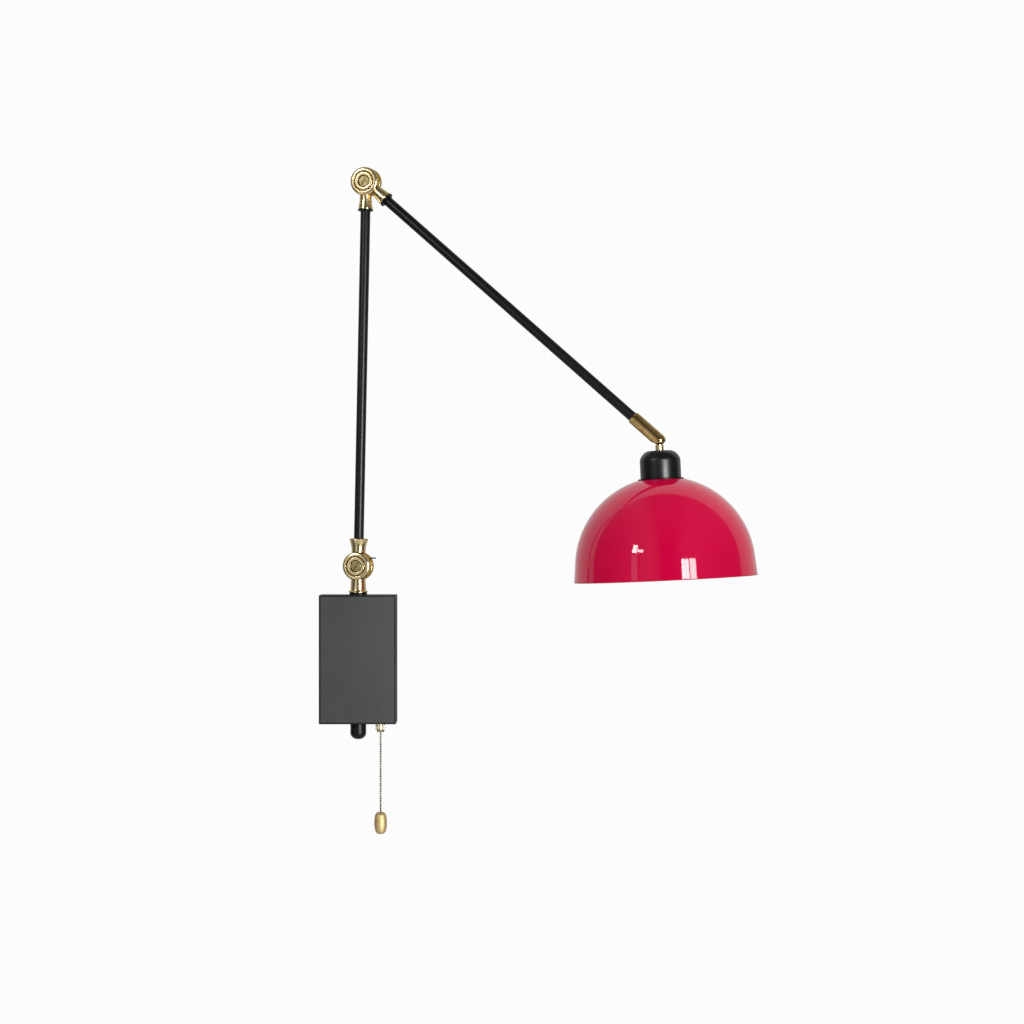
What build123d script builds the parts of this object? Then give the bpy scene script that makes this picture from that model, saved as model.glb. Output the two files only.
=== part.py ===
from build123d import *
import math
import os

# Swing arm wall lamp. Millimetres, +Z up. The wall is the plane Y = 0 and the lamp stands out of it
# towards -Y. The origin is the centre of the wall box on the wall.

os.makedirs("parts", exist_ok=True)

# Clearances shared by every joint and seat
running_gap = 0.05
seat_gap = 0.3
slip_gap = 0.02
cut_past = 1.0

# Wall box
box_width = 74.8
box_height = 125.2
box_depth = 32.0
box_wall = 1.5
box_edge_radius = 1.6

# Mounting bracket behind the cover
strap_width = 40.0
strap_height = 114.0
strap_thickness = 2.0
ear_height = 16.0
ear_depth = 15.0
wall_screw_spacing = 83.3
wall_slot_width = 4.8
wall_slot_length = 12.0
cable_hole_radius = 11.0
cover_screw_radius = 2.0
cover_screw_length = 4.0
cover_screw_socket = 2.0
ground_screw_radius = 2.0
ground_screw_head_radius = 3.6
ground_screw_head_height = 2.4
ground_screw_x = -14.0
ground_screw_z = 24.0

# Post that turns on top of the box
bush_flange_radius = 8.6
bush_flange_height = 2.4
bush_wall = 1.5
post_stem_radius = 5.0
post_neck_root_radius = 7.0
post_neck_end_radius = 7.6
post_flange_radius = 9.5
post_flange_height = 1.65
post_neck_length = 25.6
thrust_washer_radius = 10.0
thrust_washer_height = 1.0
base_nut_flats = 14.0
base_nut_height = 4.0
stem_past_nut = 2.0
wire_bore_radius = 3.2

# Swivels: two hollow halves on one screw
swivel_radius = 13.85
swivel_depth = 17.0
swivel_wall = 2.7
swivel_face_wall = 2.2
swivel_rim_fillet = 2.6
swivel_hub_radius = 6.6
boss_radius = 9.2
groove_width = 1.0
groove_depth = 0.8
screw_recess_radius = 5.6
screw_recess_depth = 2.6
nut_recess_depth = 4.6
swivel_screw_radius = 2.0
screw_head_radius = 5.2
screw_head_height = 1.8
screw_slot_width = 1.1
screw_slot_depth = 0.9
screw_slot_angle = 60.0
swivel_nut_flats = 7.0
swivel_nut_height = 3.0
spring_washer_radius = 4.2
spring_washer_height = 0.8
friction_washer_inner_radius = 11.2
friction_washer_edge = 0.3
neck_length = 26.8
neck_edge_radius = 0.7
shoulder_neck_root_radius = 6.75
shoulder_neck_end_radius = 9.1
elbow_neck_root_radius = 5.75
elbow_neck_end_radius = 7.05
neck_ring_radius = 7.5
neck_ring_height = 1.7
stop_pin_radius = 0.65
stop_pin_height = 8.0
stop_pin_reach = 16.5
stop_pin_depth = 3.0

# Arms
tube_radius = 4.8
tube_wall = 1.0
tube_socket_depth = 8.0
lower_tube_visible = 319.6
upper_tube_visible = 324.0
arm_wire_radius = 1.0
arm_wire_offset = 1.9
wire_stop = 14.0

# Slotted sleeve at the end of the upper arm
sleeve_radius = 6.1
sleeve_length = 33.4
sleeve_chamfer = 0.6
sleeve_overlap = 8.0
ball_radius = 4.55
nipple_head_length = 5.0
nipple_shank_length = 16.0
nipple_bore_radius = 2.3
pad_length = 5.0
pad_setback = 3.1
pad_spring_wire = 0.8
pad_spring_turns = 5

# Stem and cup
stem_radius = 3.9
stem_neck_radius = 2.4
stem_bore_radius = 1.5
stem_clip_radius = 3.1
stem_clip_height = 0.8
stem_clip_low = 1.0
stem_past_nut_length = 1.5
cup_drop = 9.9
cup_radius = 19.3
cup_height = 26.3
cup_top_radius = 11.6
cup_shoulder_height = 8.8
cup_shoulder_mid_radius = 16.6
cup_shoulder_mid_height = 3.4
cup_wall = 1.5
cup_washer_radius = 7.0
cup_washer_height = 0.8
stem_nut_flats = 10.0
stem_nut_height = 3.0
seat_ring_radius = 21.8
seat_ring_height = 1.0

# Shade
shade_radius = 85.4
shade_rim_radius = 87.2
shade_skirt = 11.9
shade_wall = 0.9
shade_bead_radius = 0.9
shade_hole_radius = 14.6

# Lampholder and bulb
holder_body_radius = 16.5
holder_neck_radius = 14.2
holder_neck_length = 16.0
holder_body_height = 16.0
holder_roof = 4.0
shade_ring_radius = 19.0
shade_ring_height = 5.0
shell_radius = 13.3
shell_wall = 0.4
shell_length = 22.0
contact_radius = 3.5
contact_height = 1.2
contact_tail = 2.0
bulb_cap_radius = 12.6
bulb_cap_length = 20.0
bulb_button_height = 2.0
bulb_neck_radius = 11.0
bulb_neck_length = 6.0
bulb_radius = 24.0
bulb_join_angle = 30.0
bulb_glass_length = 62.0
bulb_glass_wall = 0.8

# Pull chain switch
switch_x = 21.8
switch_body_width = 20.0
switch_body_thickness = 16.0
switch_body_height = 22.0
switch_cavity_radius = 6.0
switch_floor = 4.0
switch_roof = 3.0
plunger_height = 2.5
switch_spring_wire = 0.5
switch_spring_turns = 4
switch_spring_clearance = 0.4
spout_radius = 3.8
spout_drop = 8.9
spout_bore_radius = 1.6
spout_tip_radius = 1.2
spout_inside = 2.5
ring_nut_radius = 4.9
ring_nut_height = 6.2
ring_nut_flutes = 20
ring_nut_flute_radius = 0.35
chain_bead_radius = 1.0
chain_wire_radius = 0.35
chain_pitch = 2.4
chain_bead_count = 32
knob_radius = 6.15
knob_length = 21.2
knob_tip_radius = 3.0
knob_shoulder_radius = 5.55
knob_shoulder_drop = 3.9
knob_widest_drop = 12.0
knob_foot_radius = 5.35
knob_foot_drop = 17.5
knob_hole_depth = 3.6
knob_base_radius = 1.8
knob_rounding_out = 0.82
knob_rounding_down = 0.32
knob_base_out = 0.78

# Cord gland
gland_radius = 7.75
gland_straight = 11.5
gland_dome = 4.4
gland_thread_radius = 6.0
gland_bore_radius = 4.0
gland_inside = 8.0
gland_nut_flats = 16.0
gland_nut_height = 4.0
gland_exit_radius = 3.2
gland_seal_radius = 5.0
gland_seal_height = 1.6

# Wires and connectors in the box
connector_radius = 5.0
connector_tip_radius = 3.6
connector_length = 16.0
connector_top = 0.0
connector_x = -12.0
connector_spacing = 11.0
connector_count = 3
lead_radius = 1.0
lead_bend = 5.0
lead_drop = 16.0
switch_lead_offset = 3.0
switch_lead_rise = 14.0
switch_lead_step = 6.0

# Rest pose: the arms' plane is turned out from the wall, and each angle is from straight up
swing_angle = -14.0
lower_arm_angle = 1.22
upper_arm_angle = 131.2
head_angle = 177.2

# Places worked out from the sizes above
swing_axis_y = -box_depth / 2
box_top = box_height / 2
box_floor = -box_top + box_wall
half_depth = swivel_depth / 2
cover_screw_y = -ear_depth / 2
bush_hole_radius = post_stem_radius + bush_wall
gland_hole_radius = gland_thread_radius + 2 * running_gap
post_stem_length = (bush_flange_height + box_wall + thrust_washer_height + base_nut_height + stem_past_nut
                    + 2 * running_gap)
swivel_nut_top = nut_recess_depth - half_depth - running_gap - spring_washer_height
swivel_nut_low = swivel_nut_top - swivel_nut_height
stop_pin_start = math.sqrt(swivel_radius**2 - stop_pin_height**2) - stop_pin_depth
gland_low = -box_top - gland_straight
connector_y = -strap_thickness - seat_gap - connector_radius
shoulder_z = box_top + bush_flange_height + running_gap + post_neck_length
lower_arm_length = 2 * neck_length + neck_ring_height + lower_tube_visible
sleeve_start = neck_length + neck_ring_height + upper_tube_visible
upper_arm_length = sleeve_start + sleeve_length
tube_bore_radius = tube_radius - tube_wall
tube_start = neck_length - tube_socket_depth
sleeve_bore_radius = ball_radius + running_gap
slot_radius = stem_radius + 4 * running_gap
nipple_seat = sleeve_start + sleeve_overlap - running_gap
pad_start = upper_arm_length - pad_setback - pad_length
cup_roof = -cup_drop - cup_wall
stem_end = cup_roof - cup_washer_height - stem_nut_height - stem_past_nut_length
cup_bottom = -cup_drop - cup_height
shade_top = cup_bottom - seat_ring_height
shade_centre = shade_top - math.sqrt(shade_radius**2 - seat_ring_radius**2)
shade_rim = shade_centre - shade_skirt
holder_top = cup_bottom + holder_body_height
holder_end = cup_bottom - holder_neck_length
shell_top = holder_top - holder_roof
bulb_top = shell_top - contact_height - seat_gap
bulb_glass_top = bulb_top - bulb_cap_length
spout_mouth = -box_top - spout_drop
stub_bead_z = spout_mouth
switch_low = box_floor
switch_high = switch_low + switch_body_height
plunger_top = switch_high - switch_roof - seat_gap
chain_top_z = stub_bead_z - 2 * chain_pitch
knob_top = chain_top_z - (chain_bead_count - 1) * chain_pitch + chain_bead_radius + running_gap

swing_frame = Location((0, swing_axis_y, 0), (0, 0, swing_angle))
shoulder_frame = swing_frame * Pos(0, 0, shoulder_z)
lower_frame = shoulder_frame * Rot(0, lower_arm_angle, 0)
elbow_frame = lower_frame * Pos(0, 0, lower_arm_length)
elbow_down_frame = elbow_frame * Rot(0, 180, 0)
upper_frame = elbow_frame * Rot(0, upper_arm_angle - lower_arm_angle, 0)
ball_frame = upper_frame * Pos(0, 0, upper_arm_length)
head_frame = ball_frame * Rot(0, head_angle - upper_arm_angle - 180, 0)
switch_frame = Pos(switch_x, swing_axis_y, 0)
gland_frame = Pos(0, swing_axis_y, 0)

# Turns a piece made along +Z so that its +Z end points at the viewer, -Y
to_front = Rot(90, 0, 0)
to_back = Rot(0, 0, 180)
upside_down = Rot(0, 180, 0)
ground_place = Pos(ground_screw_x, 0, ground_screw_z) * to_front
stop_pin_place = Pos(0, (seat_gap + half_depth) / 2, stop_pin_height) * Rot(0, 90, 0)


def rod(radius, low, high):
    """Round bar along Z."""
    return Pos(0, 0, low) * Cylinder(radius, high - low, align=(Align.CENTER, Align.CENTER, Align.MIN))


def tube(outer, inner, low, high):
    """Round bar along Z with a hole right through."""
    return rod(outer, low, high) - rod(inner, low - cut_past, high + cut_past)


def block(low, high):
    """Box between two corners."""
    size = [b - a for a, b in zip(low, high)]
    return Pos(*low) * Box(*size, align=(Align.MIN, Align.MIN, Align.MIN))


def hexagon_bar(flats, low, high):
    """Hexagonal bar along Z, sized across its flats."""
    face = RegularPolygon(flats / 2, 6, major_radius=False)
    return Pos(0, 0, low) * extrude(face, high - low)


def turned(*edges):
    """Solid turned about Z from a closed outline of radius and height."""
    return revolve(Plane.XZ * make_face(Curve() + list(edges)), Axis.Z)


def coil(radius, wire, turns, low, high):
    """Compression spring along Z, from its low end to its high end, wire included."""
    climb = high - low - wire - 2 * running_gap
    path = Pos(0, 0, low + wire / 2 + running_gap) * Helix(climb / turns, climb, radius)
    section = Plane(path @ 0, z_dir=path % 0) * Circle(wire / 2)
    return sweep(section, path=path, is_frenet=True)


def cover_screw_hole():
    """Cutter across the box for both of the cover's screws."""
    hole = rod(cover_screw_radius + slip_gap, -box_width, box_width)
    return Pos(0, cover_screw_y, 0) * Rot(0, 90, 0) * hole


def mounting_bracket():
    """Strap on the wall with slots, a cable hole and two bent ears for the cover's screws."""
    ear_out = box_width / 2 - box_wall - seat_gap
    half_width = strap_width / 2
    half_height = strap_height / 2
    body = block((-half_width, -strap_thickness, -half_height), (half_width, 0, half_height))
    body += block((-ear_out, -strap_thickness, -ear_height / 2), (ear_out, 0, ear_height / 2))
    for side in (-1, 1):
        inner = side * (ear_out - strap_thickness)
        edges = sorted((inner, side * ear_out))
        body += block((edges[0], -ear_depth, -ear_height / 2), (edges[1], 0, ear_height / 2))
        slot = Pos(0, 0, side * wall_screw_spacing / 2) * Rot(90, 0, 0)
        cutter = SlotOverall(wall_slot_length, wall_slot_width, rotation=90)
        body -= slot * extrude(cutter, strap_thickness + cut_past, both=True)
    body -= to_front * rod(cable_hole_radius, -cut_past, strap_thickness + cut_past)
    body -= cover_screw_hole()
    body -= ground_place * rod(ground_screw_radius + slip_gap, -cut_past, strap_thickness + cut_past)
    return body


def cover_box():
    """Formed steel cover, open at the wall, with holes for the post, the gland and the switch."""
    half = box_width / 2
    outer = block((-half, -box_depth, -box_top), (half, 0, box_top))
    front = outer.edges().filter_by(lambda edge: edge.center().Y < -cut_past)
    outer = fillet(front, box_edge_radius)
    inside = block((box_wall - half, box_wall - box_depth, box_wall - box_top),
                   (half - box_wall, cut_past, box_top - box_wall))
    shell = outer - inside
    through = 2 * box_wall
    shell -= Pos(0, swing_axis_y, 0) * rod(bush_hole_radius, box_top - through, box_top + cut_past)
    shell -= Pos(0, swing_axis_y, 0) * rod(gland_hole_radius, -box_top - cut_past, through - box_top)
    shell -= switch_frame * rod(spout_radius + 2 * running_gap, -box_top - cut_past, through - box_top)
    shell -= cover_screw_hole()
    return shell


def cover_screws():
    """Two grub screws through the cover's sides into the bracket's ears."""
    grub = rod(cover_screw_radius, 0, cover_screw_length)
    grub -= hexagon_bar(cover_screw_socket, cover_screw_length / 2, cover_screw_length + cut_past)
    start = box_width / 2 - cover_screw_length
    right = Pos(start, cover_screw_y, 0) * Rot(0, 90, 0) * grub
    left = Pos(-start, cover_screw_y, 0) * Rot(0, -90, 0) * grub
    return Compound(children=[right, left])


def ground_screw():
    """Slotted pan-head screw for the earth wire."""
    head_top = strap_thickness + ground_screw_head_height
    head = rod(ground_screw_head_radius, strap_thickness, head_top)
    head = fillet(head.edges().sort_by(Axis.Z)[-1], ground_screw_head_height / 3)
    screw = head + rod(ground_screw_radius, 0, strap_thickness)
    slot = Pos(0, 0, head_top) * Box(2 * ground_screw_head_radius, screw_slot_width, 2 * screw_slot_depth)
    return ground_place * (screw - slot)


def base_bush():
    """Black collar in the box's top hole that the post turns in."""
    bore = post_stem_radius + running_gap
    flange = rod(bush_flange_radius, box_top, box_top + bush_flange_height)
    flange = fillet(flange.edges().sort_by(Axis.Z)[-1], bush_flange_height / 4)
    body = flange + rod(bush_hole_radius - slip_gap, box_top - box_wall, box_top)
    return Pos(0, swing_axis_y, 0) * (body - rod(bore, 0, box_height))


def thrust_washer():
    """Steel washer under the box's top."""
    top = box_top - box_wall
    washer = tube(thrust_washer_radius, post_stem_radius + seat_gap, top - thrust_washer_height, top)
    return Pos(0, swing_axis_y, 0) * washer


def neck_outline(root_radius, end_radius, length, edge):
    """Half outline of a swivel's neck: straight root, curved flare and a small rounded end."""
    root = (root_radius, swivel_radius + 2 * seat_gap)
    flare_end = (end_radius, length - edge)
    corner_end = (end_radius - edge, length)
    bulge = edge * (1 - math.sqrt(0.5))
    corner_middle = (end_radius - bulge, length - bulge)
    return [Line((0, 0), (root_radius, 0)), Line((root_radius, 0), root),
            TangentArc(root, flare_end, tangent=(0, 1)), ThreePointArc(flare_end, corner_middle, corner_end),
            Line(corner_end, (0, length)), Line((0, length), (0, 0))]


def post_outline():
    """Half outline of the post's neck, with the flange that turns on the bush."""
    root = swivel_radius + 2 * seat_gap
    under = post_neck_length - post_flange_height
    points = [(0, 0), (post_neck_root_radius, 0), (post_neck_root_radius, root),
              (post_neck_end_radius, under), (post_flange_radius, under + post_flange_height / 2),
              (post_flange_radius, post_neck_length), (0, post_neck_length)]
    return [Line(a, b) for a, b in zip(points, points[1:] + points[:1])]


def swivel_half(outline, recess_depth, bore_top):
    """Hollow half of a swivel: disc towards -Y, neck along +Z and on the swivel's mid-plane."""
    disc = rod(swivel_radius, seat_gap, half_depth)
    disc = fillet(disc.edges().sort_by(Axis.Z)[-1], swivel_rim_fillet)
    neck = turned(*outline)
    neck -= to_front * rod(swivel_radius + seat_gap, -half_depth, seat_gap)
    groove = tube(boss_radius + groove_width, boss_radius, half_depth - groove_depth, half_depth + cut_past)
    cavity = tube(swivel_radius - swivel_wall, swivel_hub_radius, -half_depth, half_depth - swivel_face_wall)
    recess = rod(screw_recess_radius, half_depth - recess_depth, half_depth + cut_past)
    hole = rod(swivel_screw_radius + running_gap, 0, swivel_depth)
    half = to_front * disc + neck
    half -= to_front * (groove + recess + hole)
    half -= to_front * cavity
    half -= rod(wire_bore_radius, swivel_hub_radius + running_gap, bore_top)
    return half


def arm_half(root_radius, end_radius, recess_depth):
    """Swivel half with a socket for an arm tube in its neck."""
    outline = neck_outline(root_radius, end_radius, neck_length, neck_edge_radius)
    half = swivel_half(outline, recess_depth, neck_length)
    return half - rod(tube_radius + slip_gap, tube_start, neck_length + cut_past)


def base_post():
    """Brass post: front half of the shoulder swivel, flange and hollow threaded stem."""
    stem_end = post_neck_length + post_stem_length
    half = swivel_half(post_outline(), screw_recess_depth, post_neck_length)
    half += rod(post_stem_radius, post_neck_length, stem_end)
    half -= rod(wire_bore_radius, swivel_radius, stem_end + cut_past)
    return swing_frame * Pos(0, 0, shoulder_z) * upside_down * half


def base_lock_nut():
    """Hexagon nut on the post's stem, inside the box."""
    top = box_top - box_wall - thrust_washer_height - running_gap
    nut = hexagon_bar(base_nut_flats, top - base_nut_height, top)
    return swing_frame * (nut - rod(post_stem_radius + slip_gap, 0, box_top))


def swivel_screw():
    """Slotted screw along Z that clamps a swivel, head towards +Z."""
    seat = half_depth - screw_recess_depth
    head_top = seat + screw_head_height
    head = rod(screw_head_radius, seat, head_top)
    head = fillet(head.edges().sort_by(Axis.Z)[-1], screw_head_height / 4)
    shank = rod(swivel_screw_radius, swivel_nut_low, seat)
    slot = Box(2 * screw_head_radius, screw_slot_width, 2 * screw_slot_depth)
    return to_front * (head + shank - Pos(0, 0, head_top) * Rot(0, 0, screw_slot_angle) * slot)


def swivel_spring_washer():
    """Washer between a swivel's rear half and its nut."""
    top = swivel_nut_top + spring_washer_height
    return to_front * tube(spring_washer_radius, swivel_screw_radius + slip_gap, swivel_nut_top, top)


def swivel_nut():
    """Hexagon nut in a swivel's rear recess."""
    nut = hexagon_bar(swivel_nut_flats, swivel_nut_low, swivel_nut_top)
    return to_front * (nut - rod(swivel_screw_radius + slip_gap, -swivel_depth, 0))


def swivel_friction_washer():
    """Thin washer between the two halves of a swivel."""
    thick = seat_gap - running_gap
    outer = swivel_radius - friction_washer_edge
    return to_front * tube(outer, friction_washer_inner_radius, -thick, thick)


def shoulder_arm_half():
    """Rear half of the shoulder swivel, with a hole for the stop pin."""
    half = to_back * arm_half(shoulder_neck_root_radius, shoulder_neck_end_radius, nut_recess_depth)
    hole = rod(stop_pin_radius + slip_gap, stop_pin_start, stop_pin_reach)
    return lower_frame * (half - stop_pin_place * hole)


def stop_pin():
    """Thin black pin in the rear disc that meets the post's neck at the end of the travel."""
    return lower_frame * stop_pin_place * rod(stop_pin_radius, stop_pin_start, stop_pin_reach)


def neck_ring():
    """Black ring between a neck's end and its tube."""
    ring = tube(neck_ring_radius, tube_radius + slip_gap, neck_length, neck_length + neck_ring_height)
    rims = ring.edges().filter_by(GeomType.CIRCLE).sort_by(SortBy.RADIUS)[-2:]
    return fillet(rims, neck_ring_height / 4)


def arm_tube(low, high):
    """Straight steel arm tube."""
    return tube(tube_radius, tube_bore_radius, low, high)


def arm_wires(low, high):
    """Two insulated wires that run through an arm."""
    pair = [Pos(0, side * arm_wire_offset, 0) * rod(arm_wire_radius, low, high) for side in (-1, 1)]
    return Compound(children=pair)


def socket_sleeve():
    """Slotted brass sleeve that holds the ball, its round end centred on the ball."""
    start = -sleeve_length
    outer = rod(sleeve_radius, start, 0)
    outer = chamfer(outer.edges().sort_by(Axis.Z)[0], sleeve_chamfer)
    outer += Sphere(sleeve_radius)
    inside = rod(tube_radius + running_gap, start - cut_past, start + sleeve_overlap)
    inside += rod(sleeve_bore_radius, start, 0) + Sphere(sleeve_bore_radius)
    reach = sleeve_radius + cut_past
    slot = rod(slot_radius, 0, reach) + Rot(0, 90, 0) * rod(slot_radius, 0, reach)
    slot += block((0, -slot_radius, 0), (reach, slot_radius, reach))
    return ball_frame * (outer - inside - slot)


def end_nipple():
    """Turned nipple in the upper tube's end that guides the sleeve."""
    head_end = nipple_seat + nipple_head_length
    shank_start = nipple_seat - nipple_shank_length
    head = tube(sleeve_bore_radius - running_gap, nipple_bore_radius, nipple_seat, head_end)
    shank = tube(tube_bore_radius - slip_gap, nipple_bore_radius, shank_start, nipple_seat)
    return upper_frame * (head + shank)


def ball_pad():
    """Cupped pad that presses on the ball."""
    body = tube(sleeve_bore_radius - running_gap, nipple_bore_radius, pad_start, pad_start + pad_length)
    return upper_frame * (body - Pos(0, 0, upper_arm_length) * Sphere(ball_radius + running_gap))


def pad_spring():
    """Spring between the nipple and the pad."""
    middle = sleeve_bore_radius - pad_spring_wire
    low = nipple_seat + nipple_head_length
    return upper_frame * coil(middle, pad_spring_wire, pad_spring_turns, low, pad_start)


def swivel_ball():
    """Ball with a stepped bore for the stem."""
    bore = rod(stem_neck_radius + running_gap, -ball_radius - cut_past, ball_radius + cut_past)
    seat = rod(stem_clip_radius + running_gap, stem_clip_low - running_gap, ball_radius + cut_past)
    return head_frame * (Sphere(ball_radius) - bore - seat)


def stem():
    """Hollow stem under the ball, with a neck that turns in it."""
    body = rod(stem_radius, stem_end, -ball_radius - running_gap)
    body += rod(stem_neck_radius, -ball_radius - running_gap, stem_clip_low + stem_clip_height)
    return head_frame * (body - rod(stem_bore_radius, stem_end - cut_past, ball_radius + cut_past))


def stem_clip():
    """Clip that keeps the stem in the ball."""
    top = stem_clip_low + stem_clip_height
    return head_frame * tube(stem_clip_radius, stem_neck_radius + slip_gap, stem_clip_low, top)


def cup_form(radius, low, side, middle, top_radius, top):
    """Round form of the cup: straight side, curved shoulder and flat top."""
    return turned(Line((0, low), (radius, low)), Line((radius, low), (radius, side)),
                  ThreePointArc((radius, side), middle, (top_radius, top)),
                  Line((top_radius, top), (0, top)), Line((0, top), (0, low)))


def socket_cup():
    """Black cup over the lampholder, rounded at the top and open below."""
    top = -cup_drop
    side = top - cup_shoulder_height
    middle_height = top - cup_shoulder_mid_height
    outer_middle = (cup_shoulder_mid_radius, middle_height)
    outer = cup_form(cup_radius, cup_bottom, side, outer_middle, cup_top_radius, top)
    inner_middle = (cup_shoulder_mid_radius - cup_wall, middle_height - cup_wall)
    inner = cup_form(cup_radius - cup_wall, cup_bottom - cut_past, side, inner_middle,
                     cup_top_radius - cup_wall, cup_roof)
    return head_frame * (outer - inner - rod(stem_radius + slip_gap, cup_roof - cut_past, 0))


def cup_washer():
    """Washer under the cup's top."""
    low = cup_roof - cup_washer_height
    return head_frame * tube(cup_washer_radius, stem_radius + slip_gap, low, cup_roof)


def stem_nut():
    """Nut that holds the cup on the stem."""
    top = cup_roof - cup_washer_height
    nut = hexagon_bar(stem_nut_flats, top - stem_nut_height, top)
    return head_frame * (nut - rod(stem_radius + slip_gap, stem_end - cut_past, 0))


def seat_ring():
    """Flat black ring between the cup and the shade."""
    return head_frame * tube(seat_ring_radius, shade_hole_radius, shade_top, cup_bottom)


def shade_outline(shift):
    """Half outline of the shade's outer or inner skin, as far as its axis."""
    radius = shade_radius - shift
    flat = math.sqrt(radius**2 - (shade_top - shift - shade_centre)**2)
    rim = (shade_rim_radius - shift, shade_rim)
    equator = (radius, shade_centre)
    skirt = TangentArc(equator, rim, tangent=(0, -1))
    middle_angle = (math.acos(flat / radius)) / 2
    middle = (radius * math.cos(middle_angle), shade_centre + radius * math.sin(middle_angle))
    crown = ThreePointArc((flat, shade_top - shift), middle, equator)
    return [Line((0, shade_top - shift), (flat, shade_top - shift)), crown, skirt,
            Line(rim, (0, shade_rim)), Line((0, shade_rim), (0, shade_top - shift))]


def shade():
    """Spun steel dome with a short flared skirt, a rolled bead and a flat seat at the top."""
    body = turned(*shade_outline(0)) - turned(*shade_outline(shade_wall))
    bead_radius = shade_rim_radius - shade_bead_radius
    body += Pos(0, 0, shade_rim + shade_bead_radius) * Torus(bead_radius, shade_bead_radius)
    return head_frame * (body - rod(shade_hole_radius, shade_top - 2 * cut_past, shade_top + cut_past))


def lampholder_body():
    """Insulating holder: wide top in the cup, threaded neck through the shade."""
    body = rod(holder_body_radius, cup_bottom, holder_top) + rod(holder_neck_radius, holder_end, cup_bottom)
    body -= rod(shell_radius + slip_gap, holder_end - cut_past, shell_top)
    body -= rod(contact_radius / 2, shell_top - cut_past, holder_top + cut_past)
    return head_frame * body


def lampholder_shell():
    """Brass screw shell."""
    return head_frame * tube(shell_radius, shell_radius - shell_wall, shell_top - shell_length, shell_top)


def centre_contact():
    """Spring contact at the bottom of the shell."""
    low = shell_top - contact_height
    tail = rod(contact_radius / 2 - slip_gap, low, shell_top + contact_tail)
    return head_frame * (rod(contact_radius, low, shell_top) + tail)


def shade_ring():
    """Threaded ring that clamps the shade against the cup."""
    top = shade_top - shade_wall
    return head_frame * tube(shade_ring_radius, holder_neck_radius + slip_gap, top - shade_ring_height, top)


def head_leads():
    """Two short wires from the stem to the lampholder."""
    wire = rod(lead_radius - slip_gap, holder_top, stem_end - running_gap)
    return head_frame * Compound(children=[Pos(side * lead_radius, 0, 0) * wire for side in (-1, 1)])


def bulb_cap():
    """Screw cap of the bulb, with its contact button."""
    shoulder = bulb_top - bulb_button_height
    button = rod(bulb_cap_radius / 2, shoulder, bulb_top)
    return head_frame * (rod(bulb_cap_radius, bulb_glass_top, shoulder) + button)


def bulb_glass():
    """Hollow glass globe on a narrow neck."""
    return head_frame * (bulb_form(0) - bulb_form(bulb_glass_wall))


def bulb_form(shift):
    """Bulb's outer or inner form: neck, flare and ball."""
    top = (0, bulb_glass_top - shift)
    neck_top = (bulb_neck_radius - shift, top[1])
    neck_low = (neck_top[0], bulb_glass_top - bulb_neck_length)
    centre = bulb_glass_top - bulb_glass_length + bulb_radius
    radius = bulb_radius - shift
    join = math.radians(bulb_join_angle)
    side = (radius * math.cos(join), centre + radius * math.sin(join))
    under = (side[0], centre - radius * math.sin(join))
    bottom = (0, centre - radius)
    return turned(Line(top, neck_top), Line(neck_top, neck_low), Line(neck_low, side),
                  ThreePointArc(side, under, bottom), Line(bottom, top))


def switch_body():
    """Insulating switch housing with a round well for the plunger."""
    half_width = switch_body_width / 2
    half_thick = switch_body_thickness / 2
    body = block((-half_width, -half_thick, switch_low), (half_width, half_thick, switch_high))
    body = fillet(body.edges().filter_by(Axis.Z), half_thick / 4)
    body -= rod(switch_cavity_radius, switch_low + switch_floor, switch_high - switch_roof)
    body -= rod(spout_radius + slip_gap, switch_low - cut_past, switch_low + spout_inside)
    body -= rod(spout_bore_radius, switch_low, switch_low + switch_floor + cut_past)
    return switch_frame * body


def switch_spout():
    """Threaded spout that the chain runs through."""
    body = rod(spout_radius, spout_mouth, switch_low + spout_inside)
    body = fillet(body.edges().sort_by(Axis.Z)[0], spout_tip_radius)
    return switch_frame * (body - rod(spout_bore_radius, spout_mouth - cut_past, switch_high))


def switch_ring_nut():
    """Fluted ring nut under the box."""
    low = -box_top - ring_nut_height
    nut = tube(ring_nut_radius, spout_radius + slip_gap, low, -box_top)
    flute = Pos(ring_nut_radius, 0, 0) * rod(ring_nut_flute_radius, low - cut_past, cut_past - box_top)
    for step in range(ring_nut_flutes):
        nut -= Rot(0, 0, step * 360 / ring_nut_flutes) * flute
    return switch_frame * nut


def beads(top, count):
    """Run of chain beads downward from the top bead's centre, on one wire core."""
    strand = rod(chain_wire_radius, top - (count - 1) * chain_pitch, top)
    for step in range(count):
        strand += Pos(0, 0, top - step * chain_pitch) * Sphere(chain_bead_radius)
    return strand


def switch_plunger():
    """Plunger in the switch with the run of chain that fills the spout."""
    low = plunger_top - plunger_height
    count = int((low - stub_bead_z) / chain_pitch)
    first = stub_bead_z + (count - 1) * chain_pitch
    plate = rod(switch_cavity_radius - 2 * running_gap, low, plunger_top)
    rise = rod(chain_wire_radius, first, low + plunger_height / 2)
    return switch_frame * (plate + beads(first, count) + rise)


def switch_spring():
    """Return spring under the plunger."""
    radius = switch_cavity_radius - switch_spring_clearance - switch_spring_wire
    return switch_frame * coil(radius, switch_spring_wire, switch_spring_turns, switch_low + switch_floor,
                               plunger_top - plunger_height)


def chain_top_bead():
    """Bead just under the spout."""
    return switch_frame * Pos(0, 0, stub_bead_z - chain_pitch) * Sphere(chain_bead_radius)


def pull_chain():
    """Free run of the ball chain."""
    return switch_frame * beads(chain_top_z, chain_bead_count)


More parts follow.
